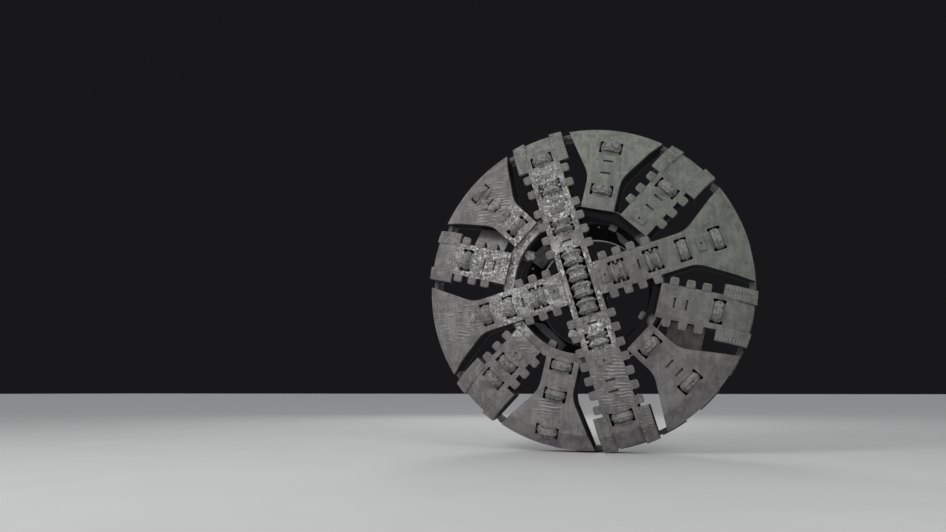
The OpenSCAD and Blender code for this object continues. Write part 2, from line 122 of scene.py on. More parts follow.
# Crust: its distance from the rim, its depth in the plate, and the grid rows over which it rises
RIM_GAP, CRUST_SUNK, RISE_ROWS = 0.012, 0.007, 3
# Share of the face with ripples, and their height, on most arms and on the arm where they are fullest
RIPPLES, FULL_RIPPLES, FULLEST_ARM = (0.48, 0.0075), (0.85, 0.0095), 4
# How firm the edges of the soft discs below are
DISC_EDGE = 1.6
# Soft discs on the face where the slurry is still wet: x, z, radius
WET_SPOTS = (
    (-2.10, 0.53, 0.80), (-1.45, 0.40, 0.50), (-0.50, 1.75, 0.70), (-0.38, 1.30, 0.45), (-0.62, 2.15, 0.50),
    (-0.25, 0.50, 0.50), (-0.80, -0.20, 0.50), (-1.50, -0.25, 0.50), (0.32, -1.00, 0.45), (-1.25, 1.00, 0.42),
    (-1.30, 1.50, 0.40), (-1.35, -0.75, 0.40), (-0.36, 0.30, 0.34), (0.13, 0.45, 0.30), (-0.13, -0.45, 0.34),
    (0.36, -0.32, 0.28),
)
# Cutters that are nearly buried, with the half width of the mud beside them
MUDDIEST = {"cutter_19": 0.205, "cutter_09": 0.195, "cutter_24": 0.170}
# Larger heaps of muck: their middles, and their half sizes along X, Y and Z
HEAPS = (
    ((-1.110, -1.400, 0.690), (0.115, 0.070, 0.095)), ((-0.165, -1.660, -1.010), (0.095, 0.075, 0.090)),
    ((-1.160, -1.700, -0.560), (0.085, 0.060, 0.070)), ((-2.270, -1.700, -0.640), (0.060, 0.045, 0.130)),
    ((-2.010, -1.700, 1.840), (0.055, 0.060, 0.075)), ((-1.970, -1.700, 1.735), (0.075, 0.065, 0.060)),
    ((-1.850, -1.700, 1.690), (0.090, 0.070, 0.055)), ((-1.735, -1.700, 1.740), (0.070, 0.065, 0.065)),
    ((-1.680, -1.700, 1.840), (0.055, 0.055, 0.080)), ((-0.280, -1.700, 2.112), (0.045, 0.070, 0.080)),
    ((-0.856, -1.700, 1.952), (0.045, 0.070, 0.080)), ((-0.665, -1.700, 2.320), (0.120, 0.060, 0.060)),
    ((-0.480, -1.700, 1.790), (0.120, 0.060, 0.055)),
)
# Soft discs where wet flecks lie on the cutters, painted pale as slurry and as glints of the wet: x, z, radius
FLECK_SPOTS = ((0.0, 0.25, 0.80), (-0.6, 1.9, 0.90), (-1.2, -0.2, 0.80), (0.35, -1.1, 0.55))
# Soft discs of pale mud near the middle: x, z, radius
PALE_SPOTS = (
    (-0.38, 0.66, 0.34), (-0.46, -0.16, 0.36), (-1.45, -0.05, 0.40), (-0.95, 0.98, 0.36), (-1.20, -0.85, 0.30),
)
# Soft discs where the middle ring is left as pale as the face, as where it is lit, besides its left half;
# elsewhere it gets painted shade: x, z, radius
RING_SPOTS = ((1.32, 0.66, 0.34), (1.40, -0.79, 0.16))
# Soft discs where the coat is darker or paler: x, z, radius, gain
TONE_SPOTS = ((-2.15, 2.10, 1.30, 0.84), (0.75, 2.60, 1.60, 1.12), (-1.75, -1.80, 1.20, 0.91))
# Soft discs where the crust dried in level ripples: x, z, radius
RIPPLE_SPOTS = (
    (-1.65, 1.60, 1.15), (-1.35, 2.10, 0.60), (-2.55, -0.60, 0.85), (-1.45, -1.35, 0.75), (0.55, -1.95, 0.85),
    (-0.75, -2.3, 0.5),
)
RUST = (0.115, 0.070, 0.042, 1.0)
# Stage: half the floor's width, the floor's gap below the head, and the camera's place
FLOOR_HALF, FLOOR_GAP = 400.0, 0.002
EYE = (2.47, -15.44, -2.13)
LAMP_SIZE = 7.0
# Lamps: name, place, the point each looks at, and the property that holds its power
LAMPS = (
    ("key_lamp", (-9.5, -15.0, 11.0), (0, -1.5, 0), "key"),
    ("fill_lamp", (11.0, -14.0, 7.0), (0, -1.5, 0), "fill"),
    ("rear_lamp", (-7.0, 16.0, 9.0), (0, -1.0, 0), "rear"),
)


def arm_angle(arm):
    return math.radians(SPIN + 30 * arm)


def half_width(arm):
    """Half the width of the main beam, or of the other arms where they have straight sides."""
    return HALF_BEAM if arm in (3, 9) else HALF_SPOKE


def placed(origin, along, across, out):
    """Frame at a point, with X, Y and Z along three given ways."""
    return Matrix.Translation(origin) @ Matrix((along, across, out)).transposed().to_4x4()


def arm_matrix(arm, r=0.0, v=0.0, up=FACE):
    """Frame on an arm: X out along the arm, Y across it, Z out of the face."""
    a = arm_angle(arm)
    u, w, n = Vector((math.cos(a), 0, math.sin(a))), Vector((-math.sin(a), 0, math.cos(a))), Vector((0, -1, 0))
    return placed(u * r + w * v + n * up, u, w, n)


def surface_height(r):
    return FACE - max(0.0, r - (HEAD_R - BEVEL_W)) * BEVEL_DROP / BEVEL_W


def scraper_places():
    """Arm, radius and side of every edge scraper on the arms."""
    return [(arm, r, s) for arm, radii in SCRAPERS.items() for r in radii for s in (-1, 1)]


def held(value):
    """A number held between 0 and 1."""
    return max(0.0, min(1.0, value))


def spot_share(x, z, spots):
    return held(DISC_EDGE * max(1 - math.hypot(x - cx, z - cz) / r for cx, cz, r in spots))


class CutterheadCoat(bpy.types.PropertyGroup):
    dry: bpy.props.FloatVectorProperty(
        name="Dry slurry", description="Colour of slurry that has dried on the steel",
        subtype="COLOR", size=3, min=0, max=1, default=(0.198, 0.196, 0.186))
    damp: bpy.props.FloatVectorProperty(
        name="Damp slurry", description="Colour of slurry that is still damp",
        subtype="COLOR", size=3, min=0, max=1, default=(0.108, 0.107, 0.101))
    # Near black colour of the painted shade in the slots and recesses behind the face and on the middle ring's
    # shaded part, with wet mud there
    deep: bpy.props.FloatVectorProperty(
        name="Deep mud", description="Colour of the wet mud on walls behind the face",
        subtype="COLOR", size=3, min=0, max=1, default=(0.014, 0.014, 0.015))
    # Pale colour for pale mud and flecks, and for the painted glints on wet slurry and the painted highlights
    # on ripple crests
    splash: bpy.props.FloatVectorProperty(
        name="Splash", description="Colour of the pale specks on wet slurry",
        subtype="COLOR", size=3, min=0, max=1, default=(0.640, 0.635, 0.620))
    thick: bpy.props.FloatProperty(
        name="Thickness", description="Mean thickness of the crust on the face",
        unit="LENGTH", min=0.001, max=0.03, default=0.006)
    cell: bpy.props.FloatProperty(
        name="Grid", description="Size of the crust's mesh cells",
        unit="LENGTH", min=0.008, max=0.05, default=0.0145)
    ripple: bpy.props.FloatProperty(
        name="Ripple pitch", description="Distance between the ripples left by the walls",
        unit="LENGTH", min=0.03, max=0.2, default=0.062)
    clods: bpy.props.FloatProperty(
        name="Clods", description="Clods of spoil to a square metre where it is wet",
        min=0, max=800, default=260)
    seed: bpy.props.IntProperty(
        name="Seed", description="Seed of the noise and of the clods", min=0, default=7)


class CutterheadTools(bpy.types.PropertyGroup):
    worn: bpy.props.FloatVectorProperty(
        name="Worn steel", description="Colour of steel worn bright at cutting edges",
        subtype="COLOR", size=3, min=0, max=1, default=(0.330, 0.322, 0.306))
    machined: bpy.props.FloatVectorProperty(
        name="Machined steel", description="Colour of the turned steel at the rear",
        subtype="COLOR", size=3, min=0, max=1, default=(0.36, 0.355, 0.34))
    primer: bpy.props.FloatVectorProperty(
        name="Primer", description="Colour of the shop primer on the rear side",
        subtype="COLOR", size=3, min=0, max=1, default=(0.16, 0.165, 0.165))
    insert_l: bpy.props.FloatProperty(
        name="Insert length", description="Length of a scraper's carbide insert",
        unit="LENGTH", min=0.02, max=0.06, default=0.040)
    insert_w: bpy.props.FloatProperty(
        name="Insert width", description="Width of a scraper's carbide insert",
        unit="LENGTH", min=0.02, max=0.06, default=0.034)
    screw_r: bpy.props.FloatProperty(
        name="Screw radius", description="Radius of the socket screws in the scrapers",
        unit="LENGTH", min=0.008, max=0.03, default=0.017)
    bolt_r: bpy.props.FloatProperty(
        name="Saddle bolt radius", description="Radius of the bolt heads on the saddles",
        unit="LENGTH", min=0.006, max=0.013, default=0.0115)
    bead_r: bpy.props.FloatProperty(
        name="Weld size", description="Radius of the weld beads",
        unit="LENGTH", min=0.004, max=0.02, default=0.010)


class CutterheadStage(bpy.types.PropertyGroup):
    floor: bpy.props.FloatVectorProperty(
        name="Floor", description="Colour of the floor",
        subtype="COLOR", size=3, min=0, max=1, default=(0.50, 0.50, 0.49))
    # Painted shade: a near black backdrop, seen by the camera, stands for the dark chamber behind the head
    backdrop: bpy.props.FloatVectorProperty(
        name="Backdrop", description="Colour seen behind the head",
        subtype="COLOR", size=3, min=0, max=1, default=(0.009, 0.009, 0.010))
    key: bpy.props.FloatProperty(
        name="Key light", description="Power of the large soft lamp on the left",
        unit="POWER", min=0, default=1500)
    fill: bpy.props.FloatProperty(
        name="Fill light", description="Power of the soft lamp on the right",
        unit="POWER", min=0, default=800)
    rear: bpy.props.FloatProperty(
        name="Rear light", description="Power of the soft lamp behind the head",
        unit="POWER", min=0, default=900)
    ambient: bpy.props.FloatProperty(
        name="Ambient", description="Strength of the light from all round",
        min=0, max=2, default=0.62)
    lens: bpy.props.FloatProperty(
        name="Lens", description="Focal length on a 36 mm sensor",
        subtype="DISTANCE_CAMERA", min=10, max=200, default=26.64)
    pan: bpy.props.FloatProperty(
        name="Pan", description="How far the camera is turned to the left",
        subtype="ANGLE", default=math.radians(18.99))
    tilt: bpy.props.FloatProperty(
        name="Tilt", description="How far the camera looks up",
        subtype="ANGLE", default=math.radians(10.2))


# Materials

class Nodes:
    """A node tree under construction."""

    def __init__(self, tree):
        self.tree = tree

    def add(self, kind, inputs=None, **settings):
        node = self.tree.nodes.new(kind)
        for key, value in settings.items():
            setattr(node, key, value)
        for key, value in (inputs or {}).items():
            self.put(node.inputs[key], value)
        return node

    def put(self, socket, value):
        if isinstance(value, bpy.types.NodeSocket):
            self.tree.links.new(value, socket)
        else:
            socket.default_value = value

    def math(self, operation, a, b=0.0, clamp=False):
        return self.add("ShaderNodeMath", {0: a, 1: b}, operation=operation, use_clamp=clamp).outputs[0]

    def times(self, a, b):
        return self.math("MULTIPLY", a, b)

    def plus(self, a, b):
        return self.math("ADD", a, b)

    def minus(self, a, b):
        return self.math("SUBTRACT", a, b)

    def most(self, a, b):
        return self.math("MAXIMUM", a, b)

    def vector(self, operation, a, b):
        return self.add("ShaderNodeVectorMath", {0: a, 1: b}, operation=operation)


class Shade(Nodes):
    """A procedural material under construction."""

    def __init__(self, name):
        self.mat = bpy.data.materials.new(name)
        self.mat.use_nodes = True
        super().__init__(self.mat.node_tree)
        self.tree.nodes.clear()
        self.bsdf = self.add("ShaderNodeBsdfPrincipled")
        self.add("ShaderNodeOutputMaterial", {0: self.bsdf.outputs[0]})
        self.coord = self.add("ShaderNodeTexCoord").outputs["Object"]
        self.x, self.y, self.z = self.add("ShaderNodeSeparateXYZ", {0: self.coord}).outputs

    def facing(self):
        """The surface normal's share along Y: -1 where it looks ahead, 1 where it looks back."""
        normal = self.add("ShaderNodeNewGeometry").outputs["Normal"]
        return self.add("ShaderNodeSeparateXYZ", {0: normal}).outputs[1]

    def flat(self):
        """Place on the face, with its depth left out."""
        return self.add("ShaderNodeCombineXYZ", {0: self.x, 2: self.z}).outputs[0]

    def radius(self):
        """Distance from the head's axis."""
        return self.math("SQRT", self.plus(self.times(self.x, self.x), self.times(self.z, self.z)))

    def mark(self, name):
        return self.add("ShaderNodeAttribute", attribute_name=name).outputs["Fac"]

    def band(self, value, low, high, to_low=0.0, to_high=1.0):
        return self.add("ShaderNodeMapRange", {0: value, 1: low, 2: high, 3: to_low, 4: to_high},
                        interpolation_type="SMOOTHSTEP").outputs[0]

    def noise(self, scale, detail=4.0, rough=0.55, stretch=None):
        place = self.coord
        if stretch:
            place = self.add("ShaderNodeMapping", {0: place, 3: stretch}).outputs[0]
        return self.add("ShaderNodeTexNoise", {"Vector": place, "Scale": scale, "Detail": detail,
                                               "Roughness": rough}).outputs["Fac"]

    def mix(self, factor, a, b, blend="MIX"):
        node = self.add("ShaderNodeMix", {0: factor, 6: a, 7: b}, data_type="RGBA", blend_type=blend)
        return node.outputs[2]

    def tinted(self, colour, tint):
        return self.mix(1.0, colour, tint, "MULTIPLY")

    def bump(self, height, distance, strength=1.0, normal=None):
        inputs = {"Height": height, "Distance": distance, "Strength": strength}
        if normal is not None:
            inputs["Normal"] = normal
        return self.add("ShaderNodeBump", inputs).outputs[0]

    def finish(self, colour, rough, normal=None, metal=None, shine=0.5):
        for label, value in (("Base Color", colour), ("Roughness", rough), ("Specular IOR Level", shine),
                             ("Metallic", metal), ("Normal", normal)):
            if value is not None:
                self.put(self.bsdf.inputs[label], value)
        return self.mat


def rgba(colour, gain=1.0):
    return tuple(c * gain for c in colour) + (1.0,)


def grey(value):
    return (value, value, value, 1.0)


def spot_mask(s, spots):
    """A set of soft discs on the face, as one number."""
    flat = s.flat()
    best = None
    for cx, cz, r in spots:
        gap = s.vector("DISTANCE", flat, (cx, 0.0, cz)).outputs["Value"]
        spot = s.minus(1.0, s.math("DIVIDE", gap, r))
        best = spot if best is None else s.most(best, spot)
    return s.math("MULTIPLY", best, DISC_EDGE, clamp=True)


def left_mask(s, low=-0.35, high=0.45):
    """1 on the left and lower part of the head, 0 on the right."""
    unit = s.add("ShaderNodeVectorMath", {0: s.flat()}, operation="NORMALIZE").outputs[0]
    a = math.radians(200)
    side = s.vector("DOT_PRODUCT", unit, (math.cos(a), 0.0, math.sin(a))).outputs["Value"]
    return s.band(side, low, high)


def slurry_material(name, coat, recess_shade_share=1.0, wet=True, ring=False, shade_depths=(0.020, 0.110), front=1.0,
                    gain=1.0):
    """Steel under dried slurry, wet in places, with painted glints on the wet slurry and painted highlight and
    shade on the ripples.
    It is painted darker between two depths behind the face, as shade in the slots and recesses with wet mud
    there, where front is the share of that painted shade on faces that look ahead, and gain makes the whole
    coat paler."""
    s = Shade(name)
    facing = s.facing()
    blotch = s.noise(5.5, 6.0, 0.62)
    lump = s.noise(38.0, 5.0, 0.6)
    grain = s.noise(210.0, 3.0, 0.6)
    runs = s.noise(1.0, 4.0, 0.6, stretch=(16.0, 16.0, 1.6))
    dirt = s.plus(s.times(blotch, 0.62), s.times(runs, 0.38))
    colour = s.mix(s.band(dirt, 0.40, 0.62), rgba(coat.damp), rgba(coat.dry))
    colour = s.mix(s.band(s.noise(0.8, 3.0), 0.35, 0.65, 0.0, 0.35), colour, rgba(coat.dry, 1.12))
    # The hue drifts towards the upper right, and the coat gets darker from left to right
    hue = s.mix(s.band(s.plus(s.x, s.z), -0.5, 3.2), (1.050, 0.970, 1.030, 1.0), (0.965, 1.01, 0.93, 1.0))
    colour = s.tinted(colour, hue)
    colour = s.tinted(colour, s.mix(s.band(s.x, -2.6, 2.4), grey(1.28 * gain), grey(0.88 * gain)))
    for x, z, radius, tone in TONE_SPOTS:
        colour = s.tinted(colour, s.mix(spot_mask(s, ((x, z, radius),)), grey(1.0), grey(tone)))
    colour = s.mix(s.band(lump, 0.35, 0.62), s.tinted(colour, grey(0.72)), colour)
    colour = s.mix(s.times(grain, 0.25), colour, rgba(coat.damp, 0.8))
    rough = s.band(lump, 0.3, 0.7, 0.72, 0.92)
    if wet:
        # Painted highlight on the ripple crests and painted shade in their troughs, as light falls on the
        # ripples
        crest = s.mark("crest")
        colour = s.mix(s.band(crest, -0.10, -0.90, 0.0, 0.55), colour, rgba(coat.damp, 0.75))
        colour = s.mix(s.band(crest, 0.20, 0.95, 0.0, 0.50), colour, rgba(coat.splash, 0.80))
        ahead = s.band(facing, 0.10, -0.40)
        damp = s.times(spot_mask(s, WET_SPOTS), ahead)
        pale = s.times(s.times(spot_mask(s, PALE_SPOTS), s.band(blotch, 0.40, 0.56)), ahead)
        colour = s.mix(s.times(pale, 0.55), colour, rgba(coat.splash, 0.72))
        # Painted glints: pale specks painted on the wet slurry stand for the glints of its wet lumps
        fine = s.times(s.band(s.noise(40.0, 4.0, 0.6), 0.48, 0.63), s.band(s.noise(5.0, 3.0), 0.44, 0.58))
        wet_glint = s.times(s.most(s.band(s.noise(19.0, 6.0, 0.60), 0.46, 0.62), fine), damp)
        # Darker damp slurry, with painted shade between the wet lumps
        damp_and_shade = s.times(damp, s.band(s.noise(12.0, 4.0), 0.40, 0.52, 0.75, 0.0))
        colour = s.mix(damp_and_shade, colour, rgba(coat.damp, 0.45))
        colour = s.mix(s.times(wet_glint, 0.95), colour, rgba(coat.splash))
        rough = s.minus(rough, s.times(damp, 0.42))
    ring_shade = 0.0
    # Painted shade: the middle ring is painted near black on its right and upper part, where it lies in shade,
    # and reflects less there
    if ring:
        lit = s.most(left_mask(s), spot_mask(s, RING_SPOTS))
        ring_shade = s.minus(1.0, lit)
        colour = s.mix(lit, rgba(coat.deep, 0.7), colour)
    # Painted shade below the face, standing for the shade in the slots and recesses, with wet mud there; the
    # face it is measured from falls towards the rim
    drop = s.times(s.most(s.minus(s.radius(), HEAD_R - BEVEL_W), 0.0), BEVEL_DROP / BEVEL_W)
    depth = s.band(s.minus(s.y, drop), -FACE + shade_depths[0], -FACE + shade_depths[1], 0.0, recess_shade_share)
    depth = s.times(depth, s.band(s.y, -BACK + 0.005, -BACK - 0.060, 0.40, 1.0))
    depth = s.times(depth, s.band(facing, 0.30, 0.75, 1.0, 0.12))
    depth = s.times(depth, s.band(facing, -0.85, -0.45, front, 1.0))
    # Painted shade on the walls behind the face, painted lighter on the left and lower side, where the light
    # falls on them
    wall_shade = s.mix(left_mask(s, -0.1, 0.8), rgba(coat.deep), rgba(coat.deep, 1.6))
    colour = s.mix(depth, colour, wall_shade)
    # Where painted shade lies, the coat also reflects less, so that it stays dark
    shine = s.band(s.most(depth, ring_shade), 0.0, 1.0, 0.5, 0.06)
    normal = s.bump(grain, 0.0012, 0.6, s.bump(lump, 0.006, 0.7))
    if wet:
        normal = s.bump(wet_glint, 0.010, 0.9, normal)
    return s.finish(colour, rough, normal, shine=shine)


def disc_material(name, tools, coat):
    """Cutter steel: soiled at the hub and bright at the tip, by the piece's wear attribute."""
    s = Shade(name)
    blotch = s.noise(14.0, 5.0, 0.6)
    grain = s.noise(160.0, 3.0, 0.6)
    scratch = s.noise(1.0, 3.0, 0.6, stretch=(60.0, 220.0, 60.0))
    soil = s.mix(s.band(blotch, 0.36, 0.52), rgba(coat.damp, 0.85), rgba(coat.dry, 1.05))
    soil = s.mix(s.times(grain, 0.3), soil, rgba(coat.damp, 0.6))
    # Flecks of pale slurry on the cutters, which also stand as painted glints of the wet
    fleck_and_glint = s.times(s.band(s.noise(21.0, 6.0, 0.62), 0.50, 0.62), spot_mask(s, FLECK_SPOTS))
    soil = s.mix(s.times(fleck_and_glint, 0.8), soil, rgba(coat.splash, 0.9))
    edge = s.band(s.plus(s.mark("wear"), s.times(s.minus(blotch, 0.5), 0.6)), 0.86, 1.02)
    bright = s.mix(s.band(scratch, 0.35, 0.65), rgba(tools.worn, 0.75), rgba(tools.worn))
    colour = s.mix(edge, soil, bright)
    rough = s.minus(s.band(blotch, 0.3, 0.7, 0.62, 0.85), s.times(edge, 0.35))
    normal = s.bump(grain, 0.001, 0.5, s.bump(blotch, 0.004, 0.6))
    return s.finish(colour, rough, normal, s.times(edge, 0.7))


def worn_material(name, tools, coat, share):
    """Tool steel, bare where it scrapes and dirty elsewhere. share is how much of it is bare."""
    s = Shade(name)
    blotch = s.noise(26.0, 5.0, 0.6)
    grain = s.noise(190.0, 3.0, 0.6)
    scratch = s.noise(1.0, 3.0, 0.6, stretch=(260.0, 90.0, 40.0))
    bare = s.band(blotch, 0.62 - 0.25 * share, 0.72 - 0.2 * share)
    colour = s.mix(bare, rgba(coat.dry, 0.9), s.mix(scratch, rgba(tools.worn, 0.6), rgba(tools.worn)))
    colour = s.mix(s.times(grain, 0.3), colour, rgba(coat.damp, 0.6))
    rough = s.minus(0.84, s.times(bare, 0.4))
    normal = s.bump(s.plus(blotch, s.times(grain, 0.3)), 0.002, 0.6)
    return s.finish(colour, rough, normal, s.times(bare, 0.75))


def machined_material(name, tools, coat):
    """Turned steel with faint tool marks, oil film and thin rust. Where it looks ahead it is painted near
    black, as painted shade of the muck chamber with wet slurry on it.
    """
    s = Shade(name)
    marks = s.math("SINE", s.times(s.radius(), 2600.0))
    film = s.noise(3.2, 5.0, 0.6)
    rust = s.noise(17.0, 6.0, 0.65)
    base = s.mix(s.band(film, 0.35, 0.65), rgba(tools.machined, 0.72), rgba(tools.machined))
    base = s.mix(s.band(rust, 0.56, 0.72, 0.0, 0.75), base, RUST)
    rough = s.plus(s.band(film, 0.3, 0.7, 0.30, 0.48), s.band(rust, 0.56, 0.72, 0.0, 0.35))
    normal = s.bump(rust, 0.0015, 0.4, s.bump(marks, 0.00012, 0.5))
    # Painted shade: faces that look ahead into the dark muck chamber are painted near black, with wet slurry on
    # them
    slurry_and_shade = s.band(s.facing(), 0.10, -0.35)
    base = s.mix(slurry_and_shade, base, rgba(coat.deep))
    steel = s.times(s.band(rust, 0.72, 0.52, 0.15, 0.85), s.minus(1.0, slurry_and_shade))
    return s.finish(base, rough, normal, steel, s.band(slurry_and_shade, 0.0, 1.0, 0.5, 0.06))


def paint_material(name, tools, coat):
    """Shop primer with mud thrown on it, painted near black where it looks ahead into the muck chamber,
    as painted shade with wet slurry on it.
    """
    s = Shade(name)
    mud = s.noise(4.2, 6.0, 0.6)
    lump = s.noise(55.0, 4.0, 0.6)
    base = s.mix(s.band(lump, 0.3, 0.7), rgba(tools.primer, 0.8), rgba(tools.primer))
    base = s.mix(s.band(mud, 0.46, 0.58), base, rgba(coat.dry, 0.8))
    # Painted shade: faces that look ahead into the dark muck chamber are painted near black, with wet slurry on
    # them
    slurry_and_shade = s.band(s.facing(), 0.10, -0.35, 0.0, 0.95)
    base = s.mix(slurry_and_shade, base, rgba(coat.deep))
    rough = s.band(mud, 0.45, 0.6, 0.5, 0.9)
    normal = s.bump(s.plus(mud, s.times(lump, 0.4)), 0.004, 0.6)
    return s.finish(base, rough, normal, shine=s.band(slurry_and_shade, 0.0, 1.0, 0.5, 0.06))


MATERIALS = {}


# Meshes

def new_piece(name, mesh):
    obj = bpy.data.objects.new(name, mesh)
    bpy.context.scene.collection.objects.link(obj)
    return obj


def mesh_from(name, verts, faces, smooth=False):
    mesh = bpy.data.meshes.new(name)
    mesh.from_pydata([tuple(v) for v in verts], [], faces)
    mesh.validate()
    if smooth:
        mesh.shade_smooth()
    return mesh


def set_mark(mesh, name, values, kind="FLOAT"):
    """Gives each point of a mesh its value of a named attribute."""
    data = mesh.attributes.new(name, kind, "POINT").data
    data.foreach_set("vector" if kind == "FLOAT_VECTOR" else "value", values)


def face_outwards(mesh):
    """Drops points without a face and turns the faces outwards."""
    bm = bmesh.new()
    bm.from_mesh(mesh)
    bmesh.ops.delete(bm, geom=[v for v in bm.verts if not v.link_faces], context="VERTS")
    bmesh.ops.recalc_face_normals(bm, faces=bm.faces)
    bm.to_mesh(mesh)
    bm.free()


def smooth_below(mesh, angle):
    """Smooth faces, with sharp edges where they meet at more than an angle in degrees."""
    mesh.shade_smooth()
    mesh.set_sharp_from_angle(angle=math.radians(angle))


def tidy_mesh(mesh, angle=None):
    """Merges doubles, turns faces outwards and sets what is smooth."""
    bm = bmesh.new()
    bm.from_mesh(mesh)
    bmesh.ops.remove_doubles(bm, verts=bm.verts, dist=1e-5)
    bmesh.ops.dissolve_degenerate(bm, edges=bm.edges, dist=1e-6)
    bmesh.ops.recalc_face_normals(bm, faces=bm.faces)
    bm.to_mesh(mesh)
    bm.free()
    if angle is not None:
        smooth_below(mesh, angle)
    return mesh


def finish_piece(obj, body, material=None, replaced=()):
    if material is not None:
        obj.data.materials.clear()
        obj.data.materials.append(material)
    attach(obj, body)
    if replaced:
        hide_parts(*replaced)


class Tree(Nodes):
    """A Geometry Nodes tree under construction."""

    def __init__(self, name, **inputs):
        super().__init__(bpy.data.node_groups.new(name, "GeometryNodeTree"))
        face = self.tree.interface
        face.new_socket("Geometry", in_out="INPUT", socket_type="NodeSocketGeometry")
        for label, (kind, default) in inputs.items():
            sock = face.new_socket(label, in_out="INPUT", socket_type="NodeSocket" + kind)
            if default is not None:
                sock.default_value = default
        face.new_socket("Geometry", in_out="OUTPUT", socket_type="NodeSocketGeometry")
        self.source = self.tree.nodes.new("NodeGroupInput")

    def given(self, label):
        return self.source.outputs[label]

    def mark(self, name, kind):
        return self.add("GeometryNodeInputNamedAttribute", {"Name": name}, data_type=kind).outputs[0]

    def close(self, geometry):
        whole = self.add("GeometryNodeRealizeInstances", {0: geometry}).outputs[0]
        done = self.add("GeometryNodeSetMaterial", {"Geometry": whole, "Material": self.given("Material")})
        self.add("NodeGroupOutput", {0: done.outputs[0]})
        return self.tree


def grow(name, mesh, tree, **values):
    """Runs a tree on a mesh and returns the result as a plain piece."""
    obj = new_piece(name + "_seed", mesh)
    mod = obj.modifiers.new("grow", "NODES")
    mod.node_group = tree
    for item in tree.interface.items_tree:
        if item.item_type == "SOCKET" and item.in_out == "INPUT" and item.name in values:
            mod[item.identifier] = values[item.name]
    obj.update_tag()
    bpy.context.view_layer.update()
    graph = bpy.context.evaluated_depsgraph_get()
    result = bpy.data.meshes.new_from_object(obj.evaluated_get(graph))
    obj.modifiers.remove(mod)
    bpy.data.objects.remove(obj)
    result.name = name
    return new_piece(name, result)


def copies_tree():
    """Copies of a shape on points that carry their own turn."""
    t = Tree("copies_on_marks", Shape=("Object", None), Size=("Float", 1.0), Material=("Material", None))
    shape = t.add("GeometryNodeObjectInfo", {"Object": t.given("Shape"), "As Instance": True})
    spin = t.add("FunctionNodeEulerToRotation", {0: t.mark("turn", "FLOAT_VECTOR")}).outputs[0]
    put = t.add("GeometryNodeInstanceOnPoints",
                {"Points": t.given("Geometry"), "Instance": shape.outputs["Geometry"], "Rotation": spin,
                 "Scale": t.given("Size")})
    return t.close(put.outputs[0])


def bead_tree():
    """A weld bead with ripples along each path of the mesh."""
    t = Tree("weld_bead", Radius=("Float", 0.010), Step=("Float", 0.016), Ripple=("Float", 0.22),
             Material=("Material", None))
    path = t.add("GeometryNodeMeshToCurve", {0: t.given("Geometry")}).outputs[0]
    path = t.add("GeometryNodeResampleCurve", {"Curve": path, "Length": t.given("Step")}, mode="LENGTH")
    odd = t.math("MODULO", t.add("GeometryNodeInputIndex").outputs[0], 2.0)
    size = t.times(t.minus(1.0, t.times(odd, t.given("Ripple"))), t.given("Radius"))
    ring = t.add("GeometryNodeCurvePrimitiveCircle", {"Resolution": 7, "Radius": 1.0}).outputs[0]
    thick = t.add("GeometryNodeSetCurveRadius", {"Curve": path.outputs[0], "Radius": size}).outputs[0]
    tube = t.add("GeometryNodeCurveToMesh", {"Curve": thick, "Profile Curve": ring, "Fill Caps": True})
    if "Scale" in tube.inputs:
        t.put(tube.inputs["Scale"], size)
    return t.close(tube.outputs[0])


def clod_tree():
    """Clods of spoil strewn over a surface by its own density mark."""
    t = Tree("strewn_clods", Density=("Float", 200.0), Smallest=("Float", 0.006), Largest=("Float", 0.019),
             Seed=("Int", 7), Material=("Material", None))
    much = t.times(t.mark("strew", "FLOAT"), t.given("Density"))
    spots = t.add("GeometryNodeDistributePointsOnFaces", {"Mesh": t.given("Geometry"), "Density": much,
                                                          "Seed": t.given("Seed")})
    ball = t.add("GeometryNodeMeshIcoSphere", {"Radius": 1.0, "Subdivisions": 2}).outputs[0]
    where = t.add("GeometryNodeInputPosition").outputs[0]
    rough = t.add("ShaderNodeTexNoise", {"Vector": where, "Scale": 1.3, "Detail": 2.0}).outputs[1]
    push = t.vector("MULTIPLY", t.vector("ADD", rough, (-0.5, -0.5, -0.5)).outputs[0], (1.3, 1.3, 1.3))
    ball = t.add("GeometryNodeSetPosition", {"Geometry": ball, "Offset": push.outputs[0]}).outputs[0]
    size = t.add("FunctionNodeRandomValue", {2: t.given("Smallest"), 3: t.given("Largest"),
                                             "Seed": t.given("Seed")}, data_type="FLOAT").outputs[1]
    turn = t.add("FunctionNodeRandomValue", {0: (-3.1, -3.1, -3.1), 1: (3.1, 3.1, 3.1),
                                             "Seed": t.given("Seed")}, data_type="FLOAT_VECTOR").outputs[0]
    spin = t.add("FunctionNodeEulerToRotation", {0: turn}).outputs[0]
    put = t.add("GeometryNodeInstanceOnPoints", {"Points": spots.outputs[0], "Instance": ball,
                                                 "Rotation": spin, "Scale": size})
    return t.close(put.outputs[0])


TREES = {}


def set_copies(name, places, shape, material):
    """Copies of a shape at each of the given frames, as one piece on the head."""
    marks = mesh_from(name + "_marks", [m.translation for m in places], [])
    set_mark(marks, "turn", [c for m in places for c in m.to_euler()], "FLOAT_VECTOR")
    tool = new_piece(name + "_shape", shape)
    piece = grow(name, marks, TREES["copies"], Shape=tool, Size=1.0, Material=MATERIALS[material])
    bpy.data.objects.remove(tool)
    finish_piece(piece, "head")


def ring_points(rings, sides, first=0.0):
    """Points about Z on rings of (radius, height). first is the first point's turn, in steps."""
    turns = [2 * math.pi * (i + first) / sides for i in range(sides)]
    return [(r * math.cos(a), r * math.sin(a), h) for r, h in rings for a in turns]


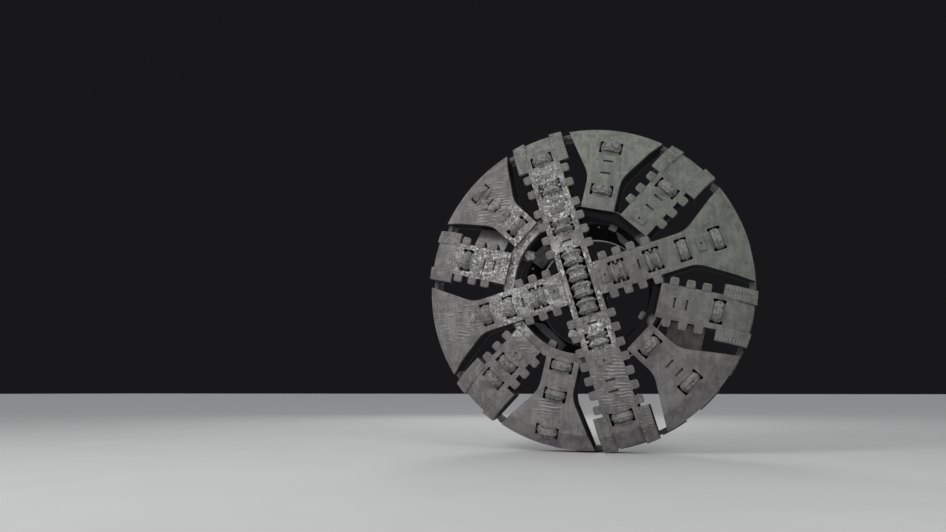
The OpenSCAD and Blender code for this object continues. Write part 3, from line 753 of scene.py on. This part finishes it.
def ring_faces(count, sides, closed):
    """Quads between rings of points. The first and last ring are joined, or else each gets an end face."""
    faces = []
    for k in range(count if closed else count - 1):
        m = (k + 1) % count
        for i in range(sides):
            j = (i + 1) % sides
            faces.append((k * sides + i, k * sides + j, m * sides + j, m * sides + i))
    if not closed:
        faces.append(tuple(range(sides))[::-1])
        faces.append(tuple(range((count - 1) * sides, count * sides)))
    return faces


def sheet_faces(grid, under):
    """Faces of a sheet over a grid of numbered points, and those that close it to its underside.

    The point under a point has the same number plus under."""
    tops, edges = [], {}
    for i, j in grid:
        quad = ((i, j), (i + 1, j), (i + 1, j + 1), (i, j + 1))
        if all(q in grid for q in quad):
            a, b, c, d = (grid[q] for q in quad)
            tops.append((a, b, c, d))
            edges.update(dict.fromkeys(((a, b), (b, c), (c, d), (d, a))))
    rest = [tuple(v + under for v in reversed(f)) for f in tops]
    rest += [(n, m, m + under, n + under) for m, n in edges if (n, m) not in edges]
    return tops, rest


def prism(name, sides, rings):
    """A many-sided shape about Z from (radius, height) rings, closed at both ends."""
    return tidy_mesh(mesh_from(name, ring_points(rings, sides, 0.5), ring_faces(len(rings), sides, False)))


def bevelled_block(name, size, bevel):
    """A block on Z 0 with bevelled edges."""
    bm = bmesh.new()
    bmesh.ops.create_cube(bm, size=1.0)
    for v in bm.verts:
        v.co = Vector((v.co.x * size[0], v.co.y * size[1], (v.co.z + 0.5) * size[2]))
    bmesh.ops.bevel(bm, geom=bm.edges, offset=bevel, segments=1, affect="EDGES", profile=0.5)
    mesh = bpy.data.meshes.new(name)
    bm.to_mesh(mesh)
    bm.free()
    return tidy_mesh(mesh)


def socket_screw(name, r, h):
    """Cap screw with a hexagonal socket."""
    sides = 12
    socket = r * 0.52
    points = ring_points([(r, 0.0), (r, h * 0.8), (r * 0.88, h), (socket, h), (socket, h * 0.35)], sides)
    for k in range(3 * sides + 1, 5 * sides, 2):
        x, y, z = points[k]
        points[k] = (x * 0.866, y * 0.866, z)
    return tidy_mesh(mesh_from(name, points, ring_faces(5, sides, False)))


def hex_bolt(name, r, h):
    """Hexagon head on a round washer."""
    washer = prism(name + "_washer", 16, [(r * 1.35, -0.002), (r * 1.35, h * 0.22), (r * 1.28, h * 0.28)])
    head = prism(name + "_head", 6, [(r * 1.08, h * 0.26), (r * 1.12, h * 0.34), (r * 1.12, h * 0.88),
                                     (r * 0.95, h)])
    bm = bmesh.new()
    bm.from_mesh(washer)
    bm.from_mesh(head)
    bm.to_mesh(washer)
    bm.free()
    return washer


# Pieces

def search_tree(node):
    """Search tree over the faces of a CAD node."""
    mesh = NODES[node].data
    return BVHTree.FromPolygons([v.co for v in mesh.vertices], [p.vertices for p in mesh.polygons])


def seen_from_ahead(tree, x, z):
    """Where the steel is met first from ahead, and its normal, or two Nones where it doesn't look ahead."""
    hit, normal, _, _ = tree.ray_cast(Vector((x, AHEAD, z)), Vector((0, 1, 0)))
    return (None, None) if hit is None or normal.y > FORWARD else (hit, normal)


def face_points(arm, cell):
    """Points of one arm's front on a grid, each with its normal."""
    tree = search_tree(ARM_NODE[arm])
    wide = HALF_BEAM if arm % 2 else HALF_PANEL
    start = 0.0 if arm in (0, 3, 6, 9) else PANEL_START
    place = arm_matrix(arm, 0, 0, 0)
    points = {}
    for i in range(int((HEAD_R - start) / cell) + 1):
        for j in range(int(2 * wide / cell) + 1):
            u, v = start + i * cell, -wide + j * cell + 0.002
            r = math.hypot(u, v)
            if r > HEAD_R - RIM_GAP or (arm in (3, 9) and u < 0.01):
                continue
            p = place @ Vector((u, v, 0))
            hit, normal = seen_from_ahead(tree, p.x, p.z)
            if hit is not None and abs(-hit.y - surface_height(r)) <= 0.003:
                points[i, j] = hit, normal
    return points


def rows_from_border(points):
    """How many rows each grid point is away from the border, for those on the crust's rise."""
    around = [(a, b) for a in (-1, 0, 1) for b in (-1, 0, 1)]
    rows = {}
    ring = [k for k in points if any((k[0] + a, k[1] + b) not in points for a, b in around)]
    for row in range(RISE_ROWS):
        rows.update((k, row) for k in ring)
        ring = [k for k in points if k not in rows and any((k[0] + a, k[1] + b) in rows for a, b in around)]
    return rows


def crust_height(x, z, arm, coat):
    """Thickness of the crust at a place on an arm, how far a ripple rises there, and how wet it is."""
    shift = Vector((coat.seed * 3.1, arm * 1.7, 0))
    q = Vector((x, 0, z)) + shift
    wet = spot_share(x, z, WET_SPOTS)
    level = spot_share(x, z, RIPPLE_SPOTS) * (1 - 0.7 * wet)
    thick = coat.thick * (0.95 + 1.5 * noise.noise(q * 1.7)) + 0.0045 * noise.noise(q * 7.0)
    thick += 0.0024 * noise.noise(q * 23.0) + 0.0150 * wet * noise.noise(q * 12.0)
    if wet > 0.05:
        thick += wet * 0.004
    if level <= 0.02:
        return thick, 0.0, wet
    share, tall = FULL_RIPPLES if arm == FULLEST_ARM else RIPPLES
    turn = (z + 0.050 * noise.noise(q * 1.6) + 0.032 * noise.noise(q * 5.0)) / coat.ripple
    broken = noise.noise(Vector((x * 6.0, 3.0, round(turn) * 1.7)) + shift)
    patchy = held(share + 1.2 * noise.noise(q * 2.6 + Vector((9, 0, 0))) + 2.0 * broken)
    crest = level * patchy * math.sin(turn * 2 * math.pi)
    return thick + tall * crest, crest, wet


def crust_on_arm(arm, coat):
    """Uneven crust of slurry on the front of one arm, closed, with its border sunk in the plate.

    With it comes its open upper side, on which clods are strewn."""
    points = face_points(arm, coat.cell)
    rows = rows_from_border(points)
    verts, strew, crest = [], [], []
    for k, (hit, normal) in points.items():
        thick, mark, wet = crust_height(hit.x, hit.z, arm, coat)
        rise = rows.get(k, RISE_ROWS) / RISE_ROWS
        rise = rise * rise * (3 - 2 * rise)
        verts.append(hit + normal * (max(-0.004, thick) * rise - 0.003 * (1 - rise)))
        strew.append(max(0.0, wet - 0.15) * 1.25 * rise + 0.05 * rise)
        crest.append(mark)
    under = [hit - normal * CRUST_SUNK for hit, normal in points.values()]
    tops, rest = sheet_faces({k: n for n, k in enumerate(points)}, len(verts))
    mesh = mesh_from("slurry_crust_%02d" % arm, verts + under, tops + rest, smooth=True)
    set_mark(mesh, "crest", crest + [0.0] * len(under))
    face_outwards(mesh)
    bed = mesh_from("bed", verts, tops)
    set_mark(bed, "strew", strew)
    return mesh, bed


def cutter_frame(body):
    """A cutter's centre, its axis, the way across it, and the way out of the face."""
    centre, axis = Vector(JOINTS[body]["pos_m"]), Vector(JOINTS[body]["axis"]).normalized()
    up = axis.cross(Vector((0, 1, 0)).cross(axis)).normalized()
    if up.y > 0:
        up = -up
    return centre, axis, up.cross(axis).normalized(), up


def cutter_kind(body):
    """Half width of the hub, by the CAD node's points, places of its rings, and half width of a ring's seat."""
    centre, axis, _, _ = cutter_frame(body)
    half = max((v.co - centre).dot(axis) for v in NODES[body].data.vertices)
    if half > TWIN_FROM:
        return half, (-TWIN_OFFSET, TWIN_OFFSET), TWIN_SEAT
    return half, (0.0,), SINGLE_SEAT


def rotor_profile(half, rings, wide):
    """Closed section of a cutter: (radius, place along the axis), with the seat, ring and tip of each disc."""
    end = [(SHAFT_R + 0.0002, 0.0), (HUB_R - 0.034, 0.0), (HUB_R - 0.030, 0.003), (HUB_R - 0.010, 0.005),
           (HUB_R - 0.003, 0.010), (HUB_R, 0.016)]
    flank = [(HUB_R, wide + 0.012), (HUB_R + 0.003, wide + 0.010), (HUB_R + 0.009, wide + 0.008),
             (HUB_R + 0.010, wide), (HUB_R + 0.012, wide - 0.005), (RING_R - 0.046, wide - 0.008),
             (RING_R - 0.030, wide * 0.6), (RING_R - 0.009, 0.0155), (RING_R - 0.003, 0.0125), (RING_R, 0.007)]
    pts = [(r, t - half) for r, t in end]
    for x in rings:
        pts += [(r, x - t) for r, t in flank] + [(r, x + t) for r, t in reversed(flank)]
    return pts + [(r, half - t) for r, t in reversed(end)]


def mud_radius(x, half, rings):
    """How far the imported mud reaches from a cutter's axis, at a place along it."""
    if len(rings) == 1:
        return 0.172 + 0.032 * math.sqrt(max(0.0, 1 - (x / half) ** 2))
    inner = min(abs(x - c) for c in rings)
    if abs(x) < rings[-1]:
        return 0.166 + 0.036 * max(0.0, 1 - inner / 0.075)
    return 0.162 + 0.044 * max(0.0, 1 - inner / 0.055)


# Steps of a cutter's turned surface about its axis, and the longest one along it
TURN_STEPS, MUD_STEP = 96, 0.009


def fine_profile(pts, step):
    """The same section with its long edges split, so that mud on it has points to stand on."""
    fine = []
    for (r0, x0), (r1, x1) in zip(pts, pts[1:]):
        n = max(1, math.ceil(abs(x1 - x0) / step))
        fine += [(r0 + (r1 - r0) * k / n, x0 + (x1 - x0) * k / n) for k in range(n)]
    return fine + [pts[-1]]


def rotor_mesh(name, body):
    """One cutter, turned about its shaft, with worn tips and mud packed on its hub and flanks."""
    half, rings, wide = cutter_kind(body)
    centre, axis, _, _ = cutter_frame(body)
    side = axis.cross(Vector((0, 1, 0))).normalized()
    front = side.cross(axis).normalized()
    pts = fine_profile(rotor_profile(half, rings, wide), MUD_STEP)
    level = 0.95 + 0.30 * noise.noise(centre * 3.3)
    fingers = len(rings) > 1 and not body.startswith("centre")
    if fingers and centre.x > 0.4:
        level -= 0.25
    verts, wear = [], []
    for r, x in pts:
        for i in range(TURN_STEPS):
            a = 2 * math.pi * i / TURN_STEPS
            out = side * math.cos(a) + front * math.sin(a)
            p = centre + axis * x + out * 0.19
            lump = noise.noise(p * 13.0) * 0.65 + noise.noise(p * 34.0) * 0.35
            cover = held(level + 0.8 * lump)
            bright = (r - 0.150) / (RING_R - 0.150)
            r2 = r
            if HUB_R - 0.012 < r < RING_R - 0.008 and abs(x) < half - 0.003:
                most = 0.148 if fingers and abs(x) < 0.030 else RING_R - 0.009
                mud = min(most, mud_radius(x, half, rings) + 0.018 * lump)
                r2 = r + max(0.004 * lump, (mud - r) * cover)
            elif r >= RING_R - 0.010:
                r2 = r - 0.0015 * max(0.0, lump + 0.3)
                bright -= 0.10 * cover
            verts.append(centre + axis * x + out * r2)
            wear.append(held(bright))
    mesh = mesh_from(name, verts, ring_faces(len(pts), TURN_STEPS, True))
    set_mark(mesh, "wear", wear)
    face_outwards(mesh)
    smooth_below(mesh, 50)
    return mesh


class Paint(bpy.types.Operator):
    """Gives every CAD node its finish"""
    bl_idname = "cutterhead.paint"
    bl_label = "Finishes"

    def execute(self, context):
        coat, tools = context.scene.cutterhead_coat, context.scene.cutterhead_tools
        # Each slurry coat gets painted shade behind the face, by its share and between its two depths; the
        # ring's coat also gets painted shade on its right and upper part
        MATERIALS.update(
            slurry=slurry_material("dried_slurry", coat),
            tool_slurry=slurry_material("slurry_on_tools", coat, recess_shade_share=0.85, wet=False, front=0.1),
            ring=slurry_material("slurry_on_ring", coat, recess_shade_share=0.95, ring=True, shade_depths=(0.115, 0.24)),
            chute=slurry_material("slurry_on_chutes", coat, wet=False, shade_depths=(0.36, 0.60), front=0.8, gain=1.8),
            rim=slurry_material("slurry_on_rim", coat, recess_shade_share=0.25, wet=False),
            clod=slurry_material("wet_clods", coat, recess_shade_share=0.6),
            heap=slurry_material("muck_heaps", coat, recess_shade_share=0.0, wet=False, gain=1.75),
            disc=disc_material("disc_steel", tools, coat),
            worn=worn_material("worn_tool_steel", tools, coat, 0.7),
            bolt=worn_material("soiled_fasteners", tools, coat, 0.25),
            machined=machined_material("machined_steel", tools, coat),
            primer=paint_material("primed_steel", tools, coat))
        finish = {"mid_ring": "ring", "rim_ring": "rim", "rim_wear_bars": "rim", "rear_flange": "machined",
                  "centre_tube": "machined", "foam_lines": "primer", "support_legs": "primer",
                  "mixing_bars": "primer", "edge_scrapers": "tool_slurry", "gauge_buckets": "tool_slurry",
                  "foam_nozzles": "tool_slurry", "muck_chutes": "chute"}
        for name, node in NODES.items():
            kind = finish.get(name, "disc" if "cutter_" in name and name != "cutter_shafts" else "slurry")
            if not node.material_slots:
                node.data.materials.append(None)
            for slot in node.material_slots:
                slot.material = MATERIALS[kind]
        TREES.update(copies=copies_tree(), bead=bead_tree(), clods=clod_tree())
        return {"FINISHED"}


class Crust(bpy.types.Operator):
    """Lays the crust of slurry on the arms and strews clods on it"""
    bl_idname = "cutterhead.crust"
    bl_label = "Slurry crust"

    def execute(self, context):
        coat = context.scene.cutterhead_coat
        beds = bmesh.new()
        beds.verts.layers.float.new("strew")
        for arm in range(12):
            mesh, bed = crust_on_arm(arm, coat)
            piece = new_piece("slurry_crust_%02d" % arm, mesh)
            finish_piece(piece, "head", MATERIALS["slurry"])
            beds.from_mesh(bed)
            bpy.data.meshes.remove(bed)
        merged = bpy.data.meshes.new("beds")
        beds.to_mesh(merged)
        beds.free()
        clods = grow("spoil_clods", merged, TREES["clods"], Density=coat.clods, Seed=coat.seed,
                     Material=MATERIALS["clod"])
        clods.data.shade_smooth()
        finish_piece(clods, "head", MATERIALS["clod"])
        return {"FINISHED"}


class Heaps(bpy.types.Operator):
    """Sets the larger heaps of muck on the face, the ledges and the scrapers"""
    bl_idname = "cutterhead.heaps"
    bl_label = "Muck heaps"

    def execute(self, context):
        bm = bmesh.new()
        for n, (middle, half) in enumerate(HEAPS):
            ball = bmesh.ops.create_icosphere(bm, subdivisions=5, radius=1.0)["verts"]
            for v in ball:
                p = v.co + Vector((n * 3.7, context.scene.cutterhead_coat.seed, 0))
                v.co *= (1 + 0.42 * noise.noise(p * 1.7) + 0.20 * noise.noise(p * 4.5)
                         + 0.07 * noise.noise(p * 11.0))
                v.co = Vector(middle) + Vector([a * b for a, b in zip(v.co, half)])
        mesh = bpy.data.meshes.new("muck_heaps")
        bm.to_mesh(mesh)
        bm.free()
        mesh.shade_smooth()
        finish_piece(new_piece("muck_heaps", mesh), "head", MATERIALS["heap"])
        return {"FINISHED"}


class Rotors(bpy.types.Operator):
    """Makes each disc cutter as its own turned piece"""
    bl_idname = "cutterhead.rotors"
    bl_label = "Disc cutters"

    def execute(self, context):
        for body in sorted(JOINTS):
            piece = new_piece(body + "_rotor", rotor_mesh(body + "_rotor", body))
            finish_piece(piece, body, MATERIALS["disc"], (body,))
        return {"FINISHED"}


# Saddle caps: their size, their height over the shaft's axis, and the places of their bolts across it
CAP_SIZE, CAP_HEIGHT, CAP_BOLTS = (0.026, 0.148, 0.007), SHAFT_R + 0.015, (-0.048, 0.048)


def saddle_mud(body, coat):
    """Vertices and faces of the mud that bridges from the arm to both ends of one cutter."""
    centre, axis, across, up = cutter_frame(body)
    near, long, wide = cutter_kind(body)[0] + 0.005, 0.080, MUDDIEST.get(body, 0.150)
    top, deep, cell = RING_R - 0.150, 0.035, 0.0075
    verts, faces = [], []
    for end in (-1, 1):
        kept = {}
        for i in range(int(1.2 * long / cell) + 1):
            for j in range(-int(wide / cell) - 4, int(wide / cell) + 5):
                a, t = i * cell, j * cell
                p = centre + axis * end * (near + a) + across * t
                lump = noise.noise(p * 9.0 + Vector((0, 0, coat.seed)))
                share = (a / long) ** 2 + (t / wide) ** 2 + 0.45 * lump
                if share > 1.4 or abs(t) > wide + 0.030:
                    continue
                h = 0.036 * (1 - max(0.0, share)) + 0.006 * noise.noise(p * 24.0)
                kept[i, j] = len(verts)
                verts.append(p + up * (top + h))
        verts += [verts[k] - up * ((verts[k] - centre).dot(up) - top + deep) for k in kept.values()]
        tops, rest = sheet_faces(kept, len(kept))
        faces += tops + rest
    return verts, faces


class Saddles(bpy.types.Operator):
    """Puts caps, bolts and packed mud on the saddle blocks that hold the cutters' shafts"""
    bl_idname = "cutterhead.saddles"
    bl_label = "Saddle caps"

    def execute(self, context):
        coat, tools = context.scene.cutterhead_coat, context.scene.cutterhead_tools
        on_arms = [body for body in sorted(JOINTS) if not body.startswith("centre")]
        caps, bolts, verts, faces = [], [], [], []
        for body in on_arms:
            centre, axis, across, up = cutter_frame(body)
            reach = cutter_kind(body)[0] + PLAY + SADDLE_T / 2
            for s in (-1, 1):
                at = centre + axis * s * reach + up * CAP_HEIGHT
                caps.append(placed(at, axis, across, up))
                bolts += [placed(at + across * t + up * 0.006, axis, across, up) for t in CAP_BOLTS]
            more, quads = saddle_mud(body, coat)
            faces += [tuple(k + len(verts) for k in quad) for quad in quads]
            verts += more
        set_copies("saddle_caps", caps, bevelled_block("cap", CAP_SIZE, 0.002), "bolt")
        set_copies("saddle_bolts", bolts, hex_bolt("bolt", tools.bolt_r * 0.82, 0.013), "bolt")
        piece = new_piece("saddle_mud", tidy_mesh(mesh_from("saddle_mud", verts, faces, smooth=True), 50))
        finish_piece(piece, "head", MATERIALS["slurry"])
        return {"FINISHED"}


# Scrapers: places of the inserts and of the screws along the edge, thickness of an insert, height of a screw
INSERT_X, SCREW_X, INSERT_T, SCREW_H = (-0.044, 0.0, 0.044), (-0.040, 0.040), 0.012, 0.010


class Scrapers(bpy.types.Operator):
    """Sets carbide inserts and screws in the edge scrapers"""
    bl_idname = "cutterhead.scrapers"
    bl_label = "Scraper inserts"

    def execute(self, context):
        tools = context.scene.cutterhead_tools
        inserts, screws = [], []
        for arm, r, s in scraper_places():
            base = arm_matrix(arm, r, s * half_width(arm), FACE + SCRAPER_LIFT)
            if s < 0:
                base = base @ Matrix.Rotation(math.pi, 4, "Z")
            for x in INSERT_X:
                at = base @ Matrix.Translation((x, SCRAPER_L - 0.0215, -0.0115))
                inserts.append(at @ Matrix.Rotation(-SCRAPER_FALL, 4, "X"))
            screws += [base @ Matrix.Translation((x, 0.042, -0.001)) for x in SCREW_X]
        insert = bevelled_block("insert", (tools.insert_l, tools.insert_w, INSERT_T), 0.003)
        set_copies("scraper_inserts", inserts, insert, "worn")
        screw = socket_screw("screw", tools.screw_r, SCREW_H)
        set_copies("scraper_screws", screws, screw, "bolt")
        return {"FINISHED"}


# Gauge buckets: first row and pitch of the rows, size of a tile, and the places of bolts and of tiles
# across the arm, from its side
ROW_START, ROW_PITCH, TILE_SIZE, BOLT_ROW, TILE_ROW = 0.045, 0.058, (0.050, 0.082, 0.012), -0.020, 0.145


class Buckets(bpy.types.Operator):
    """Faces the gauge buckets with hard metal and bolts them"""
    bl_idname = "cutterhead.buckets"
    bl_label = "Gauge bucket facing"

    def execute(self, context):
        tiles, bolts = [], []
        tree = search_tree("gauge_buckets")
        for arm, inner in BUCKETS.items():
            half = half_width(arm)
            way_out = Vector((math.cos(arm_angle(arm)), 0, math.sin(arm_angle(arm))))
            r, row = inner + ROW_START, 0
            while r < HEAD_R + 0.02:
                for s in (-1, 1):
                    for v in (half + BOLT_ROW, half + TILE_ROW):
                        p = arm_matrix(arm, r, s * v, 0).translation
                        hit, normal = seen_from_ahead(tree, p.x, p.z)
                        if hit is None or math.hypot(hit.x, hit.z) > HEAD_R + 0.005:
                            continue
                        w = normal.cross(way_out).normalized()
                        u = w.cross(normal).normalized()
                        if v > half:
                            tiles.append(placed(hit - normal * 0.004, u, w, normal))
                        elif row % 3 == 1:
                            bolts.append(placed(hit - normal * 0.001, u, w, normal))
                r += ROW_PITCH
                row += 1
        tile = bevelled_block("tile", TILE_SIZE, 0.003)
        set_copies("bucket_facing", tiles, tile, "worn")
        set_copies("bucket_bolts", bolts, hex_bolt("bolt", 0.020, 0.016), "bolt")
        return {"FINISHED"}


class Nozzles(bpy.types.Operator):
    """Puts a rubber flap ring and screws on each foam nozzle"""
    bl_idname = "cutterhead.nozzles"
    bl_label = "Foam nozzles"

    def execute(self, context):
        places = [arm_matrix(arm, r, 0, FACE + NOZZLE_LIFT) for arm, r in NOZZLES]
        x, y = NOZZLE_SCREWS
        screws = [place @ Matrix.Translation((s * x, t * y, -0.001))
                  for place in places for s in (-1, 1) for t in (-1, 1)]
        sides = 24
        flap = mesh_from("ring", ring_points(FLAP_SECTION, sides), ring_faces(len(FLAP_SECTION), sides, True))
        set_copies("nozzle_rings", places, tidy_mesh(flap), "worn")
        set_copies("nozzle_screws", screws, socket_screw("screw", 0.013, 0.009), "bolt")
        return {"FINISHED"}


def circle_path(r, y, n, a0=0.0, a1=360.0):
    """Points on a circle about the head's axis, or on a part of it, and whether the path closes."""
    full = abs(a1 - a0) >= 359.9
    count = max(4, int(n * abs(a1 - a0) / 360))
    turns = [math.radians(a0 + (a1 - a0) * i / count) for i in range(count if full else count + 1)]
    return [Vector((r * math.cos(a), y, r * math.sin(a))) for a in turns], full


class Welds(bpy.types.Operator):
    """Lays weld beads where plates, tools and legs are joined"""
    bl_idname = "cutterhead.welds"
    bl_label = "Weld beads"

    def execute(self, context):
        tools = context.scene.cutterhead_tools
        paths = []

        def line(arm, pts, closed=False):
            paths.append(([arm_matrix(arm, u, v, h).translation for u, v, h in pts], closed))

        for arm, r, s in scraper_places():
            edge, w = s * half_width(arm), SCRAPER_W / 2
            inner = s * (half_width(arm) - 0.004)
            line(arm, [(r - w, edge, FACE - 0.070), (r - w, edge, FACE - 0.004), (r - w + 0.004, inner, FACE),
                       (r + w - 0.004, inner, FACE), (r + w, edge, FACE - 0.004), (r + w, edge, FACE - 0.070)])
        for arm in (0, 6):
            line(arm, [(HALF_BEAM, -HALF_SPOKE + 0.01, FACE), (HALF_BEAM, HALF_SPOKE - 0.01, FACE)])
            for v in (-HALF_SPOKE, HALF_SPOKE):
                line(arm, [(HALF_BEAM, v, FACE - 0.01), (HALF_BEAM, v, BACK + 0.01)])
        for arm, r in NOZZLES:
            a, b = NOZZLE_HALF
            line(arm, [(r - a, -b, FACE), (r + a, -b, FACE), (r + a, b, FACE), (r - a, b, FACE)], True)
        for arm in range(12):
            half = half_width(arm)
            turn, gap = SPIN + 30 * arm, math.degrees(math.asin(half / MID_OUT))
            paths.append(circle_path(MID_OUT, -RING_TOP, 240, turn + gap, turn + 30 - gap))
            if arm % 3 == 0:
                u0, u1 = math.sqrt(MID_R ** 2 - half ** 2), math.sqrt(MID_OUT ** 2 - half ** 2)
                low = BACK + 0.02
                for v in (-half, half):
                    line(arm, [(u0, v, low), (u0, v, RING_TOP), (u1, v, RING_TOP), (u1, v, low)])
        for arm in (1, 4, 7, 10):
            for r in LEG_PLATES:
                line(arm, [(r, -LEG_HALF, LEG_FOOT), (r, LEG_HALF, LEG_FOOT)])
        paths += [circle_path(TUBE_R, y, 120) for y in TUBE_WELDS]
        verts, edges = [], []
        for pts, closed in paths:
            base = len(verts)
            verts += [p[:] for p in pts]
            edges += [(base + i, base + i + 1) for i in range(len(pts) - 1)]
            if closed:
                edges.append((base + len(pts) - 1, base))
        mesh = bpy.data.meshes.new("weld_paths")
        mesh.from_pydata(verts, edges, [])
        piece = grow("weld_beads", mesh, TREES["bead"], Radius=tools.bead_r, Material=MATERIALS["tool_slurry"])
        tidy_mesh(piece.data, 60)
        finish_piece(piece, "head", MATERIALS["tool_slurry"])
        return {"FINISHED"}


def put_in_scene(name, data, place, look):
    """A lamp or a camera at a place, looking along a given way."""
    obj = new_piece(name, data)
    obj.location = place
    obj.rotation_euler = look.to_track_quat("-Z", "Y").to_euler()
    return obj


class Stage(bpy.types.Operator):
    """Sets the floor, the lamps and the camera"""
    bl_idname = "cutterhead.stage"
    bl_label = "Stage"

    def execute(self, context):
        stage = context.scene.cutterhead_stage
        floor_z = CAD_BOX[0][2] - FLOOR_GAP
        corners = [(x * FLOOR_HALF, y * FLOOR_HALF, floor_z) for x, y in ((-1, -1), (1, -1), (1, 1), (-1, 1))]
        floor = new_piece("floor", mesh_from("floor", corners, [(0, 1, 2, 3)]))
        s = Shade("pale_floor")
        cloud = s.noise(0.7, 3.0)
        s.finish(s.mix(s.band(cloud, 0.3, 0.7), rgba(stage.floor, 0.97), rgba(stage.floor)), 0.85)
        floor.data.materials.append(s.mat)
        world = bpy.data.worlds.new("studio")
        context.scene.world = world
        world.use_nodes = True
        sky = Nodes(world.node_tree)
        sky.tree.nodes.clear()
        # Camera rays and reflections meet the near black backdrop, painted shade behind the head; other rays
        # get the even light from all round
        light = sky.add("ShaderNodeBackground", {0: (0.95, 0.97, 1.0, 1.0), 1: stage.ambient}).outputs[0]
        seen = sky.add("ShaderNodeBackground", {0: rgba(stage.backdrop)}).outputs[0]
        ray = sky.add("ShaderNodeLightPath").outputs
        straight = sky.most(sky.most(ray["Is Camera Ray"], ray["Is Glossy Ray"]), ray["Is Transmission Ray"])
        both = sky.add("ShaderNodeMixShader", {0: straight, 1: light, 2: seen}).outputs[0]
        sky.add("ShaderNodeOutputWorld", {0: both})
        for name, place, aim, power in LAMPS:
            lamp = bpy.data.lights.new(name, "AREA")
            lamp.shape, lamp.size, lamp.energy = "DISK", LAMP_SIZE, getattr(stage, power)
            put_in_scene(name, lamp, place, Vector(aim) - Vector(place))
        cam = bpy.data.cameras.new("camera")
        cam.sensor_width, cam.lens, cam.clip_end = 36.0, stage.lens, 1500.0
        look = Vector((-math.sin(stage.pan) * math.cos(stage.tilt), math.cos(stage.pan) * math.cos(stage.tilt),
                       math.sin(stage.tilt)))
        context.scene.camera = put_in_scene("camera", cam, EYE, look)
        context.scene.view_settings.view_transform = "Standard"
        return {"FINISHED"}


STEPS = (Paint, Crust, Heaps, Rotors, Saddles, Scrapers, Buckets, Nozzles, Welds, Stage)
GROUPS = (CutterheadCoat, CutterheadTools, CutterheadStage)


class CutterheadPanel(bpy.types.Panel):
    """Lists the steps that dress the cutterhead"""
    bl_idname = "VIEW3D_PT_cutterhead"
    bl_label = "Cutterhead"
    bl_space_type = "VIEW_3D"
    bl_region_type = "UI"
    bl_category = "Cutterhead"

    def draw(self, context):
        for step in STEPS:
            self.layout.operator(step.bl_idname)


def register():
    for c in GROUPS + STEPS + (CutterheadPanel,):
        bpy.utils.register_class(c)
    bpy.types.Scene.cutterhead_coat = bpy.props.PointerProperty(type=CutterheadCoat)
    bpy.types.Scene.cutterhead_tools = bpy.props.PointerProperty(type=CutterheadTools)
    bpy.types.Scene.cutterhead_stage = bpy.props.PointerProperty(type=CutterheadStage)


def unregister():
    del bpy.types.Scene.cutterhead_stage
    del bpy.types.Scene.cutterhead_tools
    del bpy.types.Scene.cutterhead_coat
    for c in reversed(GROUPS + STEPS + (CutterheadPanel,)):
        bpy.utils.unregister_class(c)


def main():
    register()
    for step in STEPS:
        group, _, call = step.bl_idname.partition(".")
        getattr(getattr(bpy.ops, group), call)()
    bpy.context.view_layer.update()


if __name__ == "__main__":
    main()
